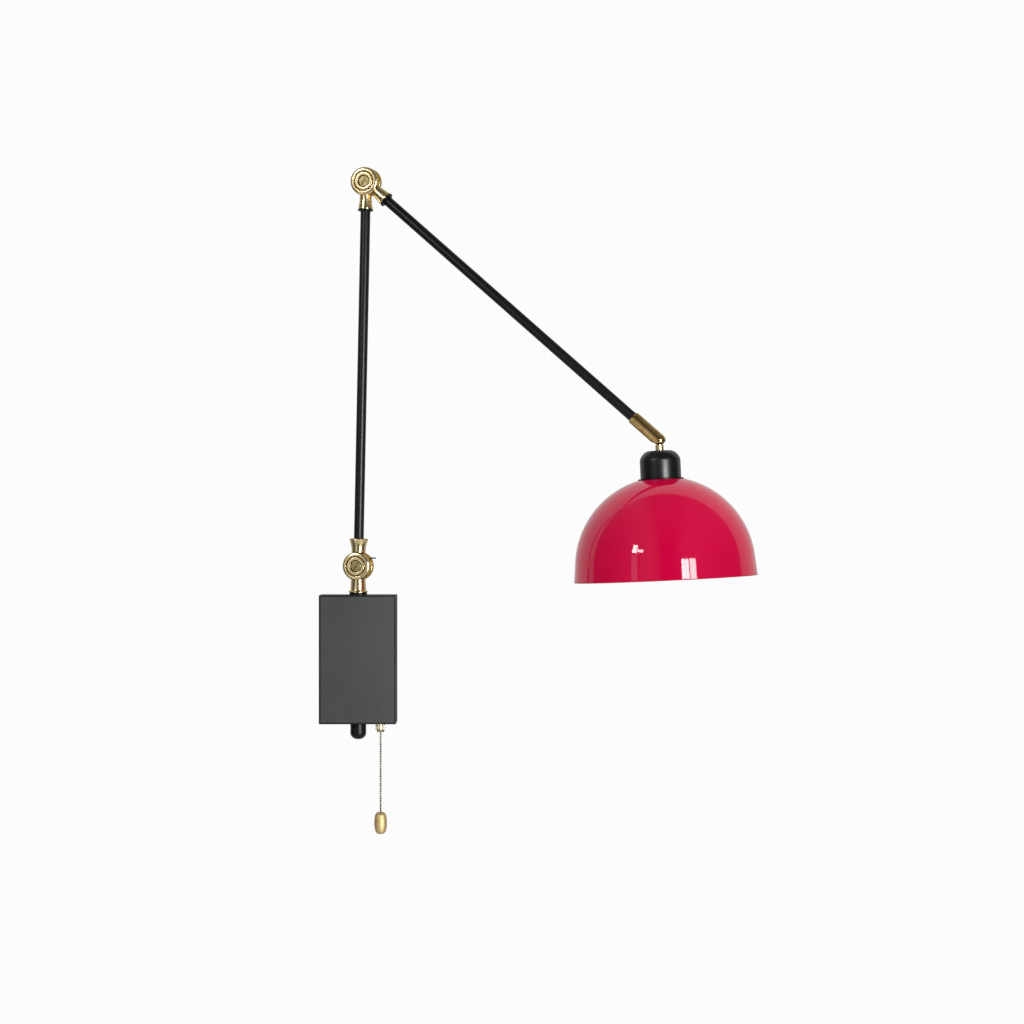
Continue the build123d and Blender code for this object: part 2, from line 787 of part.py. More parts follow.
def pull_knob():
    """Turned brass knob, fullest a little under its middle."""
    low = knob_top - knob_length
    widest = (knob_radius, knob_top - knob_widest_drop)
    shoulder = (knob_shoulder_radius, knob_top - knob_shoulder_drop)
    foot = (knob_foot_radius, knob_top - knob_foot_drop)
    top_edge = (knob_tip_radius, knob_top)
    low_edge = (knob_base_radius, low)
    top_drop = knob_rounding_down * knob_shoulder_drop
    low_rise = knob_rounding_down * (knob_length - knob_foot_drop)
    top_middle = (knob_rounding_out * knob_shoulder_radius, knob_top - top_drop)
    low_middle = (knob_base_out * knob_foot_radius, low + low_rise)
    body = turned(Line((0, low), low_edge), ThreePointArc(low_edge, low_middle, foot),
                  ThreePointArc(foot, widest, shoulder), ThreePointArc(shoulder, top_middle, top_edge),
                  Line(top_edge, (0, knob_top)), Line((0, knob_top), (0, low)))
    hole = rod(chain_bead_radius + running_gap, knob_top - knob_hole_depth, knob_top + cut_past)
    return switch_frame * (body - hole)


def gland_body():
    """Threaded tube of the cord gland, through the box's floor."""
    return gland_frame * tube(gland_thread_radius, gland_bore_radius, gland_low, box_floor + gland_inside)


def gland_dome_nut():
    """Black domed nut under the box, with a cord exit in its end."""
    end = gland_low - gland_dome
    outline = [Line((0, end), (0, -box_top)), Line((0, -box_top), (gland_radius, -box_top)),
               Line((gland_radius, -box_top), (gland_radius, gland_low)),
               EllipticalCenterArc((0, gland_low), gland_radius, gland_dome, start_angle=-90, arc_size=90)]
    dome = turned(*outline) - rod(gland_thread_radius + slip_gap, gland_low, cut_past - box_top)
    dome -= rod(gland_seal_radius + slip_gap, gland_low - gland_seal_height, gland_low + cut_past)
    return gland_frame * (dome - rod(gland_exit_radius, end - cut_past, gland_low))


def gland_seal():
    """Blank rubber seal in the gland."""
    return gland_frame * rod(gland_seal_radius, gland_low - gland_seal_height, gland_low)


def gland_lock_nut():
    """Nut of the gland on the box's floor."""
    nut = hexagon_bar(gland_nut_flats, box_floor, box_floor + gland_nut_height)
    return gland_frame * (nut - rod(gland_thread_radius + slip_gap, -box_top, 0))


def wire_connectors():
    """Twist-on connectors in a row against the bracket, open ends up."""
    cone = Pos(0, connector_y, connector_top - connector_length / 2) * Cone(
        connector_tip_radius, connector_radius, connector_length)
    row = [Pos(connector_x + step * connector_spacing, 0, 0) * cone for step in range(connector_count)]
    return Compound(children=row)


def lead(points):
    """Insulated wire along straight runs with round bends."""
    path = FilletPolyline(*points, radius=lead_bend)
    section = Plane(path @ 0, z_dir=path % 0) * Circle(lead_radius)
    return sweep(section, path=path)


def arm_leads():
    """Two wires from the post's stem down to the first two connectors."""
    top = shoulder_z - post_neck_length - post_stem_length - seat_gap
    wires = []
    for step in range(2):
        start_x = (2 * step - 1) * (lead_radius + slip_gap)
        end_x = connector_x + step * connector_spacing
        bend_z = connector_top + lead_drop
        wires.append(lead([(start_x, swing_axis_y, top), (start_x, swing_axis_y, top - lead_drop),
                           (end_x, connector_y, bend_z), (end_x, connector_y, connector_top)]))
    return Compound(children=wires)


def switch_leads():
    """Two wires from the switch's top over to the last two connectors."""
    wires = []
    for step in range(2):
        start_x = switch_x + (1 - 2 * step) * switch_lead_offset
        end_x = connector_x + (step + 1) * connector_spacing + (1 - step) * (2 * lead_radius + seat_gap)
        turn_z = connector_top + switch_lead_rise + (1 - step) * switch_lead_step
        wires.append(lead([(start_x, swing_axis_y, switch_high), (start_x, swing_axis_y, turn_z),
                           (end_x, connector_y, turn_z), (end_x, connector_y, connector_top)]))
    return Compound(children=wires)


elbow_front_half = arm_half(elbow_neck_root_radius, elbow_neck_end_radius, screw_recess_depth)
elbow_rear_half = to_back * arm_half(elbow_neck_root_radius, elbow_neck_end_radius, nut_recess_depth)

sub_parts = {
    "mounting_bracket": mounting_bracket(),
    "cover_box": cover_box(),
    "cover_screws": cover_screws(),
    "ground_screw": ground_screw(),
    "base_bush": base_bush(),
    "thrust_washer": thrust_washer(),
    "gland_body": gland_body(),
    "gland_dome_nut": gland_dome_nut(),
    "gland_seal": gland_seal(),
    "gland_lock_nut": gland_lock_nut(),
    "switch_body": switch_body(),
    "switch_spout": switch_spout(),
    "switch_ring_nut": switch_ring_nut(),
    "switch_spring": switch_spring(),
    "wire_connectors": wire_connectors(),
    "arm_leads": arm_leads(),
    "switch_leads": switch_leads(),
    "base_post": base_post(),
    "base_lock_nut": base_lock_nut(),
    "shoulder_screw": shoulder_frame * swivel_screw(),
    "shoulder_nut": shoulder_frame * swivel_nut(),
    "shoulder_spring_washer": shoulder_frame * swivel_spring_washer(),
    "shoulder_friction_washer": shoulder_frame * swivel_friction_washer(),
    "shoulder_arm_half": shoulder_arm_half(),
    "stop_pin": stop_pin(),
    "lower_tube": lower_frame * arm_tube(tube_start, lower_arm_length - tube_start),
    "lower_arm_wires": lower_frame * arm_wires(wire_stop, lower_arm_length - wire_stop),
    "elbow_lower_ring": elbow_down_frame * neck_ring(),
    "elbow_lower_half": elbow_down_frame * elbow_front_half,
    "elbow_screw": elbow_down_frame * swivel_screw(),
    "elbow_nut": elbow_down_frame * swivel_nut(),
    "elbow_spring_washer": elbow_down_frame * swivel_spring_washer(),
    "elbow_friction_washer": elbow_down_frame * swivel_friction_washer(),
    "elbow_upper_half": upper_frame * elbow_rear_half,
    "elbow_upper_ring": upper_frame * neck_ring(),
    "upper_tube": upper_frame * arm_tube(tube_start, nipple_seat),
    "upper_arm_wires": upper_frame * arm_wires(wire_stop, nipple_seat - nipple_shank_length - seat_gap),
    "end_nipple": end_nipple(),
    "socket_sleeve": socket_sleeve(),
    "ball_pad": ball_pad(),
    "pad_spring": pad_spring(),
    "swivel_ball": swivel_ball(),
    "stem": stem(),
    "stem_clip": stem_clip(),
    "socket_cup": socket_cup(),
    "cup_washer": cup_washer(),
    "stem_nut": stem_nut(),
    "seat_ring": seat_ring(),
    "shade": shade(),
    "shade_ring": shade_ring(),
    "lampholder_body": lampholder_body(),
    "lampholder_shell": lampholder_shell(),
    "centre_contact": centre_contact(),
    "head_leads": head_leads(),
    "bulb_cap": bulb_cap(),
    "bulb_glass": bulb_glass(),
    "switch_plunger": switch_plunger(),
    "chain_top_bead": chain_top_bead(),
    "pull_chain": pull_chain(),
    "pull_knob": pull_knob(),
}

for node, shape in sub_parts.items():
    export_step(shape, f"parts/{node}.step")
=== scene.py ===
"""Looks of a swing arm wall lamp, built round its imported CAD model.

Everything is in metres in the frame of the CAD model: the wall is the plane Y = 0, the room is
towards -Y and +Z is up. Sizes in the classes are in millimetres, as a maker would write them.
"""

import logging
import math
from collections.abc import Callable, Sequence
from dataclasses import dataclass
from enum import Enum

import bmesh
import bpy
from mathutils import Matrix, Vector


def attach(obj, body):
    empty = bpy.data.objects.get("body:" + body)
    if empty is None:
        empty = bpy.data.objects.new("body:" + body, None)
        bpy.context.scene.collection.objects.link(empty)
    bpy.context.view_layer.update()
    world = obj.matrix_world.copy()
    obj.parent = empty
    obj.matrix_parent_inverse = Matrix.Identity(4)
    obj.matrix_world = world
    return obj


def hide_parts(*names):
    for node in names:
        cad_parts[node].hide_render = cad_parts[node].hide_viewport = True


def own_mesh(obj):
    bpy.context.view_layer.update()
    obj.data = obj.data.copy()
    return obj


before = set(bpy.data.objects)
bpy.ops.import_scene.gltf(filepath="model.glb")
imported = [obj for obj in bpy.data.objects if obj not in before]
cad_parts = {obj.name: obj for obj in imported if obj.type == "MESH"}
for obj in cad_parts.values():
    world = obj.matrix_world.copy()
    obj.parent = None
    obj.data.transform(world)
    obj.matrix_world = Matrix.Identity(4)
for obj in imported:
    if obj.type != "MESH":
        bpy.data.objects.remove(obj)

LOG = logging.getLogger("wall_lamp")
MM = 0.001
SAME_PLACE = 1e-6
PATCH_DETAIL = 4.0
Piece = bpy.types.Object
Tree = bpy.types.NodeTree
Socket = bpy.types.NodeSocket
Point = tuple[float, float]
Corner = tuple[float, float, float]


class Ends(Enum):
    """How the two ends of a turned outline are closed."""

    FLAT = "flat"
    JOINED = "joined"
    OPEN = "open"


class Slot(Enum):
    """Names of the record's material slots, one given with each new piece."""

    BOX = "box_paint"
    TUBE = "tube_paint"
    CUP = "cup_enamel"
    SHADE = "shade_enamel"
    BRASS = "brass"
    NICKEL = "nickel"
    NYLON = "black_nylon"
    GLASS = "bulb_glass"
    CAP = "bulb_aluminium"


def linear(hex_colour: str) -> tuple[float, float, float, float]:
    """Turns an sRGB hex colour to linear light.

    Args:
        hex_colour: six hex digits after a hash.

    Returns:
        Red, green, blue and alpha.
    """
    parts = [int(hex_colour[i:i + 2], 16) / 255 for i in (1, 3, 5)]
    light = [c / 12.92 if c <= 0.04045 else ((c + 0.055) / 1.055) ** 2.4 for c in parts]
    return (light[0], light[1], light[2], 1.0)


def add_node(tree: Tree, kind: str, settings: dict | None = None,
             links: dict | None = None) -> bpy.types.Node:
    """Adds a node with its settings and links.

    Args:
        tree: the node tree.
        kind: the node's type, without the ShaderNode that every name here starts with.
        settings: values by property name, or by an input's name or number.
        links: output sockets by the input's name or number that they go to.

    Returns:
        The new node.
    """
    node = tree.nodes.new("ShaderNode" + kind)
    for key, value in (settings or {}).items():
        if isinstance(key, str) and hasattr(node, key):
            setattr(node, key, value)
        else:
            node.inputs[key].default_value = value
    for key, socket in (links or {}).items():
        tree.links.new(socket, node.inputs[key])
    return node


def remap(tree: Tree, value: Socket, low: float, high: float, to_low: float = 0.0,
          to_high: float = 1.0) -> Socket:
    """Maps the range from low to high onto another range, and holds what lies outside at its ends."""
    ranges = {"From Min": low, "From Max": high, "To Min": to_low, "To Max": to_high}
    return add_node(tree, "MapRange", ranges, {"Value": value}).outputs["Result"]


def maths(tree: Tree, operation: str, *values: Socket | float) -> Socket:
    """Works out one number from sockets and plain numbers."""
    numbers = {place: value for place, value in enumerate(values) if isinstance(value, float)}
    sockets = {place: value for place, value in enumerate(values) if place not in numbers}
    return add_node(tree, "Math", {"operation": operation, **numbers}, sockets).outputs[0]


def noise(tree: Tree, place: Socket, size_mm: float, detail: float) -> Socket:
    """Makes an even noise with features of a size in millimetres."""
    settings = {"Scale": 1 / (size_mm * MM), "Detail": detail}
    return add_node(tree, "TexNoise", settings, {"Vector": place}).outputs["Fac"]


@dataclass(frozen=True)
class Grain:
    """An even, fine pattern: the size of its features and how high they stand."""

    size_mm: float
    depth_mm: float
    detail: float = 3.0


@dataclass(frozen=True)
class Finish:
    """A finish: two close colours that drift into each other, with gloss that varies and a fine relief."""

    name: str
    colour: str
    drift: str
    roughness: tuple[float, float]
    grain: Grain | None = None
    patch_mm: float = 30.0
    metallic: float = 0.0
    ior: float = 1.5
    subsurface: float = 0.0
    limb: str = "#FFFFFF"

    def material(self) -> bpy.types.Material:
        """Returns the finish's material, made the first time it is asked for."""
        found = bpy.data.materials.get(self.name)
        return found if found else self.build()

    def build(self) -> bpy.types.Material:
        """Builds the node tree.

        Returns:
            The new material.
        """
        made = bpy.data.materials.new(self.name)
        made.use_nodes = True
        tree = made.node_tree
        tree.nodes.clear()
        place = add_node(tree, "TexCoord").outputs["Object"]
        patches = noise(tree, place, self.patch_mm, PATCH_DETAIL)
        mixed = add_node(tree, "Mix",
                         {"data_type": "RGBA", 6: linear(self.colour), 7: linear(self.drift)},
                         {0: remap(tree, patches, 0.32, 0.68)})
        links = {"Base Color": self.tint(tree, place, mixed.outputs[2]),
                 "Roughness": remap(tree, patches, 0.3, 0.7, *self.roughness)}
        if self.grain:
            height = noise(tree, place, self.grain.size_mm, self.grain.detail)
            links["Normal"] = add_node(tree, "Bump", {"Distance": self.grain.depth_mm * MM},
                                       {"Height": height}).outputs["Normal"]
        shader = add_node(tree, "BsdfPrincipled",
                          {"Metallic": self.metallic, "IOR": self.ior, "Subsurface Weight": self.subsurface,
                           "Specular Tint": linear(self.limb)}, links)
        add_node(tree, "OutputMaterial", links={"Surface": shader.outputs["BSDF"]})
        return made

    def tint(self, tree: Tree, place: Socket,
             colour: Socket) -> Socket:
        """What else colours the surface: here, nothing."""
        return colour

    def dress(self, *nodes: str) -> None:
        """Gives the finish to CAD nodes."""
        for node in nodes:
            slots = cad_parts[node].data.materials
            slots.clear()
            slots.append(self.material())
            LOG.info("dressed %s in %s", node, self.name)


@dataclass(frozen=True)
class PaintedEdgeShadeCoat(Finish):
    """A coat with painted shade: a near-black band along the edges of a box centred on the origin, seen from
    the front.
    """

    painted_edge_shade_colour: str = "#030303"
    half_width_mm: float = 37.4
    half_height_mm: float = 62.6
    edge_mm: float = 1.8
    fade_mm: float = 0.4

    def tint(self, tree: Tree, place: Socket,
             colour: Socket) -> Socket:
        """Paints shade along the edges as a dark band.

        Args:
            tree: the node tree.
            place: the surface's place on the object.
            colour: the colour away from the edges.

        Returns:
            The colour with the painted edge shade.
        """
        parts = add_node(tree, "SeparateXYZ", links={0: place}).outputs
        near = []
        for axis, half in (("X", self.half_width_mm), ("Z", self.half_height_mm)):
            start = half - self.edge_mm
            near.append(remap(tree, maths(tree, "ABSOLUTE", parts[axis]), (start - self.fade_mm / 2) * MM,
                              (start + self.fade_mm / 2) * MM))
        # The near-black band along the box's edges is painted shade.
        return add_node(tree, "Mix", {"data_type": "RGBA", 7: linear(self.painted_edge_shade_colour)},
                        {0: maths(tree, "MAXIMUM", *near), 6: colour}).outputs[2]


# Powder-coated sheet steel, sprayed dry and baked: a fine even tooth that scatters the light, so
# the black reads as graphite; along the bends a near-black band of painted shade
# Its edge colour is painted shade, not a change in the coat.
BOX_COAT = PaintedEdgeShadeCoat("graphite_powder_coat_painted_edge_shade", "#3E3E40", "#424244", (0.50, 0.60), Grain(0.5, 0.004),
                     patch_mm=45.0, ior=1.35)
# Steel tube stove-enamelled in black: it flows nearly flat in the oven, so it has two long soft lines of
# light, and its limbs stay dark
TUBE_ENAMEL = Finish("black_stove_enamel", "#0B0B0C", "#0F0F10", (0.32, 0.38), patch_mm=25.0, ior=1.33)
# Spun cup, sprayed and baked black: a soft bar of light down its side
CUP_ENAMEL = Finish("black_baked_enamel", "#070708", "#0B0B0C", (0.31, 0.36), patch_mm=18.0, ior=1.4)
# Cast and turned brass, lacquered after a satin polish: warm and pale, a little deeper where the polish
# misses, smooth enough for its own lines of light
BRASS = Finish("satin_lacquered_brass", "#E4D2A6", "#D0BA8A", (0.17, 0.22), patch_mm=5.0, metallic=1.0,
               limb="#A8854C")
# The sleeve is drawn brass tube under a lacquer that has aged a little browner
DRAWN_BRASS = Finish("aged_drawn_brass", "#D2B47C", "#B08E56", (0.14, 0.18), patch_mm=5.0, metallic=1.0,
                     limb="#6A4C22")
# The knob is turned from bar and only brushed, so its bands of light are soft
BRUSHED_BRASS = Finish("brushed_brass", "#CEB98E", "#BDA574", (0.55, 0.62), patch_mm=5.0, metallic=1.0,
                       limb="#A8854C")
# Screw heads of bare brass, dulled by handling
SCREW_BRASS = Finish("bare_brass", "#A4966E", "#7C6E48", (0.36, 0.46), Grain(0.9, 0.02), patch_mm=2.5,
                     metallic=1.0)
# Brass left unpolished in grooves and recesses: browner and dull
TARNISHED_BRASS = Finish("unpolished_brass", "#8A6F42", "#6B5330", (0.40, 0.52), Grain(0.5, 0.003),
                         patch_mm=2.0, metallic=1.0)
# Bright nickel on brass: pale and a little warm
NICKEL = Finish("bright_nickel_plate", "#D0C6B0", "#A99E86", (0.16, 0.22), patch_mm=3.0, metallic=1.0,
                limb="#6A6250")
# Ball chain rolled from nickelled strip: the plate wears brown where the balls rub
WORN_NICKEL = Finish("worn_nickel_plate", "#8C806A", "#5C5240", (0.24, 0.32), patch_mm=2.0, metallic=1.0,
                     limb="#1C1814")
# Zinc-plated steel, barrel plated: bluish grey with a soft bloom
ZINC = Finish("barrel_zinc_plate", "#C3C6C9", "#9FA3A8", (0.34, 0.48), Grain(0.6, 0.004), patch_mm=7.0,
              metallic=1.0)
# Drawn spring wire: even grey with a dull shine
SPRING = Finish("drawn_spring_steel", "#A9ABAD", "#8B8D90", (0.25, 0.35), Grain(0.4, 0.002),
                patch_mm=4.0, metallic=1.0)
# Blackened steel pins and screws: oil-dark, thin
BLACK_STEEL = Finish("blackened_steel", "#1C1C1D", "#262627", (0.30, 0.42), Grain(0.4, 0.002),
                     patch_mm=4.0, metallic=0.6)
# Earth screw: zinc plate dyed green
GREEN_STEEL = Finish("green_dyed_zinc_plate", "#2F7F3F", "#256A33", (0.30, 0.40), Grain(0.4, 0.002),
                     patch_mm=4.0, metallic=0.8)
# Injection-moulded nylon: glossy where the mould is polished
NYLON = Finish("black_moulded_nylon", "#060607", "#09090A", (0.34, 0.42), patch_mm=9.0, ior=1.3)
# Compression-moulded phenolic: near-black brown with a dull gloss
PHENOLIC = Finish("moulded_phenolic", "#1D1613", "#261C18", (0.28, 0.38), Grain(0.7, 0.004), patch_mm=8.0)
# Twist-on connectors: moulded polypropylene, waxy
CONNECTOR = Finish("orange_polypropylene", "#C9702A", "#B9631F", (0.35, 0.45), Grain(0.8, 0.006),
                   patch_mm=6.0)
# Extruded PVC round the wires: soft, even and a little dull
WIRE = Finish("ivory_pvc_insulation", "#DEDBD0", "#D2CEC1", (0.32, 0.42), Grain(0.8, 0.003),
              patch_mm=10.0)
# Pressed rubber blank: dull and dusty
RUBBER = Finish("pressed_black_rubber", "#191919", "#202020", (0.60, 0.75), Grain(0.5, 0.01),
                patch_mm=5.0)
# Pressed vulcanised fibre washer: dull red brown
FIBRE = Finish("red_vulcanised_fibre", "#6E3324", "#5E2A1D", (0.60, 0.72), Grain(0.4, 0.01), patch_mm=4.0)
# Rolled aluminium cap of the bulb: pale, drawn bright
ALUMINIUM = Finish("rolled_aluminium", "#D5D6D8", "#BFC1C4", (0.25, 0.35), Grain(0.5, 0.003),
                   patch_mm=6.0, metallic=1.0)
# Opal glass: blown with a white flashed layer, so it looks milky and keeps a sharp skin
OPAL_GLASS = Finish("flashed_opal_glass", "#F3F1EA", "#ECE9E0", (0.08, 0.12), Grain(6.0, 0.002),
                    patch_mm=20.0, subsurface=0.3)
# Enamelled dome, outside: sprayed and baked crimson with a hard wet gloss, only just uneven
SHADE_OUTSIDE = Finish("crimson_gloss_enamel", "#CD0340", "#C8023C", (0.03, 0.05),
                       Grain(18.0, 0.0008, 0.0), patch_mm=60.0, ior=1.38)
# Enamelled dome, inside: white to throw the light down
SHADE_INSIDE = Finish("white_reflector_enamel", "#EDECE8", "#E6E4DF", (0.20, 0.28),
                      Grain(4.0, 0.003, 1.0), patch_mm=40.0)


@dataclass(frozen=True)
class Studio:
    """Pale floor, soft lights and the camera, all outside the lamp. Sizes in metres."""

    camera_place: tuple[float, float, float] = (0.1501, -2.432, 0.1434)
    focal_mm: float = 86.98
    sensor_mm: float = 36.0
    floor_height: float = -0.75
    floor_side: float = 3.0
    floor_glow: float = 0.55
    lit_point: tuple[float, float, float] = (0.20, -0.08, 0.14)
    background: str = "#FCFCFC"
    room_light: float = 0.50
    behind_light: float = 0.62
    behind_top_light: float = 0.98
    overhead_light: float = 0.16
    below_share: float = 0.6

    def build(self) -> None:
        """Sets up the whole studio."""
        self.place_camera()
        self.lay_floor()
        self.paint_world()
        self.hang_lamps()

    def place_camera(self) -> None:
        """Places the camera square to the wall, at the photograph's distance."""
        data = bpy.data.cameras.new("camera")
        data.lens = self.focal_mm
        data.sensor_width = self.sensor_mm
        data.clip_end = 50.0
        camera = bpy.data.objects.new("camera", data)
        camera.location = self.camera_place
        camera.rotation_euler = (math.radians(90), 0.0, 0.0)
        bpy.context.scene.collection.objects.link(camera)
        bpy.context.scene.camera = camera

    def lay_floor(self) -> None:
        """Lays a pale floor well below the lamp."""
        deselect()
        bpy.ops.mesh.primitive_plane_add(size=self.floor_side, location=(0.15, 0.0, self.floor_height))
        floor = bpy.context.active_object
        floor.name = "studio_floor"
        made = bpy.data.materials.new("studio_floor_paint")
        made.use_nodes = True
        tree = made.node_tree
        tree.nodes.clear()
        seen = add_node(tree, "LightPath").outputs["Is Camera Ray"]
        share = maths(tree, "MULTIPLY", seen, self.floor_glow)
        matt = add_node(tree, "BsdfDiffuse", {"Color": linear("#F2F2F0")})
        glow = add_node(tree, "Emission", {"Color": linear(self.background), "Strength": 1.0})
        both = add_node(tree, "MixShader", links={0: share, 1: matt.outputs[0], 2: glow.outputs[0]})
        add_node(tree, "OutputMaterial", links={"Surface": both.outputs[0]})
        floor.data.materials.append(made)

    def paint_world(self) -> None:
        """Paints the surroundings: white behind the lamp, as the camera sees it, and a dim room in front."""
        world = bpy.data.worlds.new("studio")
        bpy.context.scene.world = world
        world.use_nodes = True
        tree = world.node_tree
        tree.nodes.clear()
        direction = add_node(tree, "TexCoord").outputs["Generated"]
        parts = add_node(tree, "SeparateXYZ", links={0: direction}).outputs
        front = add_node(tree, "ValToRGB", links={0: remap(tree, parts["X"], -1.0, 1.0)})
        self.shade_front(front.color_ramp)
        wall = remap(tree, parts["Z"], -0.2, 0.9, self.behind_light, self.behind_top_light)
        overhead = remap(tree, parts["Z"], 0.25, 0.9, 0.0, self.overhead_light)
        below = remap(tree, parts["Z"], -0.25, -0.55, 1.0, self.below_share)
        lifted = maths(tree, "MAXIMUM", maths(tree, "MULTIPLY", front.outputs["Color"], below), overhead)
        mirrored = add_node(tree, "Mix", {"data_type": "FLOAT"},
                            {0: remap(tree, parts["Y"], 0.27, 0.32), 2: lifted, 3: wall}).outputs[0]
        path = add_node(tree, "LightPath").outputs
        room = add_node(tree, "Background", {"Color": linear("#FFFFFF"), "Strength": self.room_light})
        reflected = add_node(tree, "Background", {"Color": linear("#FFFFFF")}, {"Strength": mirrored})
        backdrop = add_node(tree, "Background", {"Color": linear(self.background), "Strength": 1.0})
        glossy = add_node(tree, "MixShader",
                          links={0: path["Is Glossy Ray"], 1: room.outputs[0], 2: reflected.outputs[0]})
        through = maths(tree, "MAXIMUM", path["Is Camera Ray"], path["Is Transmission Ray"])
        all_rays = add_node(tree, "MixShader",
                            links={0: through, 1: glossy.outputs[0], 2: backdrop.outputs[0]})
        add_node(tree, "OutputWorld", links={"Surface": all_rays.outputs[0]})

    def shade_front(self, ramp: bpy.types.ColorRamp) -> None:
        """Grades the room in front of the lamp, from its left to its right, with a dark middle.

        Args:
            ramp: a new ramp with its two stops, filled here.
        """
        stops = ((0.0, 0.10), (0.20, 0.30), (0.29, 0.42), (0.38, 0.26), (0.44, 0.03), (0.56, 0.05),
                 (0.66, 0.22), (0.85, 0.22), (1.0, 0.10))
        while len(ramp.elements) < len(stops):
            ramp.elements.new(0.5)
        for element, (at, level) in zip(ramp.elements, stops):
            element.position = at
            element.color = (level, level, level, 1.0)

    def hang_lamps(self) -> None:
        """Hangs a soft key, a weak fill and the small bright windows that gloss shows."""
        self.hang("soft_key", (1.1, -1.6, 0.9), (1.0, 1.0), 6.2, mirrored=False)
        self.hang("soft_fill", (-1.5, -1.3, 0.2), (0.9, 0.9), 2.2, mirrored=False)
        self.hang("window_right", (1.17, -2.38, -0.02), (0.40, 1.30), 32.0, lighting=False)
        self.hang("window_right_pane", (1.53, -2.17, -0.02), (0.34, 1.30), 26.0, lighting=False)
        self.hang("window_left", (-2.97, -3.47, 1.93), (0.55, 0.85), 30.0, lighting=False)
        self.hang("window_left_pane", (-2.49, -3.89, 1.80), (0.60, 0.30), 26.0, lighting=False)
        self.hang("lit_wall_left", (-1.71, -2.23, -0.2), (0.40, 2.2), 1.1, lighting=False)

    def hang(self, name: str, place: tuple[float, float, float], size: tuple[float, float], radiance: float,
             mirrored: bool = True, lighting: bool = True) -> None:
        """Hangs one rectangular lamp that faces the wall lamp.

        Args:
            name: the lamp's name.
            place: its centre.
            size: its width and height.
            radiance: how bright its face is, where 1 is a white that just clips.
            mirrored: whether gloss shows it.
            lighting: whether it lights matt surfaces.
        """
        data = bpy.data.lights.new(name, "AREA")
        data.shape = "RECTANGLE"
        data.size, data.size_y = size
        data.energy = radiance * math.pi * size[0] * size[1]
        lamp = bpy.data.objects.new(name, data)
        lamp.location = place
        aim = Vector(self.lit_point) - Vector(place)
        lamp.rotation_euler = aim.to_track_quat("-Z", "Y").to_euler()
        lamp.visible_glossy = mirrored
        lamp.visible_diffuse = lighting
        bpy.context.scene.collection.objects.link(lamp)


def deselect() -> None:
    """Leaves edit mode and deselects every object."""
    if bpy.context.object and bpy.context.object.mode != "OBJECT":
        bpy.ops.object.mode_set(mode="OBJECT")
    bpy.ops.object.select_all(action="DESELECT")


def choose(piece: Piece) -> None:
    """Makes one object the active and only selected one."""
    deselect()
    piece.select_set(True)
    bpy.context.view_layer.objects.active = piece


def pick(piece: Piece, kind: str, test: Callable[[Vector, Vector], bool]) -> None:
    """Selects elements of the mesh in edit mode, and deselects the rest.

    Args:
        piece: the object in edit mode.
        kind: EDGE or FACE.
        test: says from a face's centre and normal, or an edge's centre and direction, whether it is wanted.
    """
    bpy.ops.mesh.select_mode(type=kind)
    bpy.ops.mesh.select_all(action="DESELECT")
    mesh = bmesh.from_edit_mesh(piece.data)
    for item in mesh.edges if kind == "EDGE" else mesh.faces:
        if kind == "EDGE":
            centre = (item.verts[0].co + item.verts[1].co) / 2
            normal = (item.verts[1].co - item.verts[0].co).normalized()
        else:
            centre, normal = item.calc_center_median(), item.normal
        if test(centre, normal):
            item.select_set(True)
    mesh.select_flush_mode()
    bmesh.update_edit_mesh(piece.data)


def arc(start: Point, middle: Point, end: Point, steps: int = 10) -> list[Point]:
    """Follows the circle through three points.

    Args:
        start: the arc's first point, which isn't repeated in the result.
        middle: a point on the arc.
        end: its last point.
        steps: number of chords.

    Returns:
        The points after the first one.
    """
    (ax, ay), (bx, by), (cx, cy) = start, middle, end
    twice = 2 * (ax * (by - cy) + bx * (cy - ay) + cx * (ay - by))
    squares = (ax * ax + ay * ay, bx * bx + by * by, cx * cx + cy * cy)
    x = (squares[0] * (by - cy) + squares[1] * (cy - ay) + squares[2] * (ay - by)) / twice
    y = (squares[0] * (cx - bx) + squares[1] * (ax - cx) + squares[2] * (bx - ax)) / twice
    first = math.atan2(ay - y, ax - x)
    whole = (math.atan2(cy - y, cx - x) - first) % math.tau
    if (math.atan2(by - y, bx - x) - first) % math.tau > whole:
        whole -= math.tau
    radius = math.hypot(ax - x, ay - y)
    angles = [first + whole * step / steps for step in range(1, steps + 1)]
    return [(x + radius * math.cos(angle), y + radius * math.sin(angle)) for angle in angles]


def rounded(corners: Sequence[Corner], steps: int = 4) -> list[Point]:
    """Rounds the corners of an outline.

    Args:
        corners: radius, height and how far the rounding reaches each way, for each corner.
        steps: number of chords in a rounding.

    Returns:
        The outline's points.
    """
    points = [(corners[0][0], corners[0][1])]
    for before, (x, y, reach), after in zip(corners, corners[1:], corners[2:]):
        at = Vector((x, y))
        back = (Vector(before[:2]) - at).normalized() * reach
        onward = (Vector(after[:2]) - at).normalized() * reach
        shares = [step / steps for step in range(steps + 1)] if reach else [0.5]
        points += [tuple(at + back * (1 - share) ** 2 + onward * share ** 2) for share in shares]
    return points + [(corners[-1][0], corners[-1][1])]


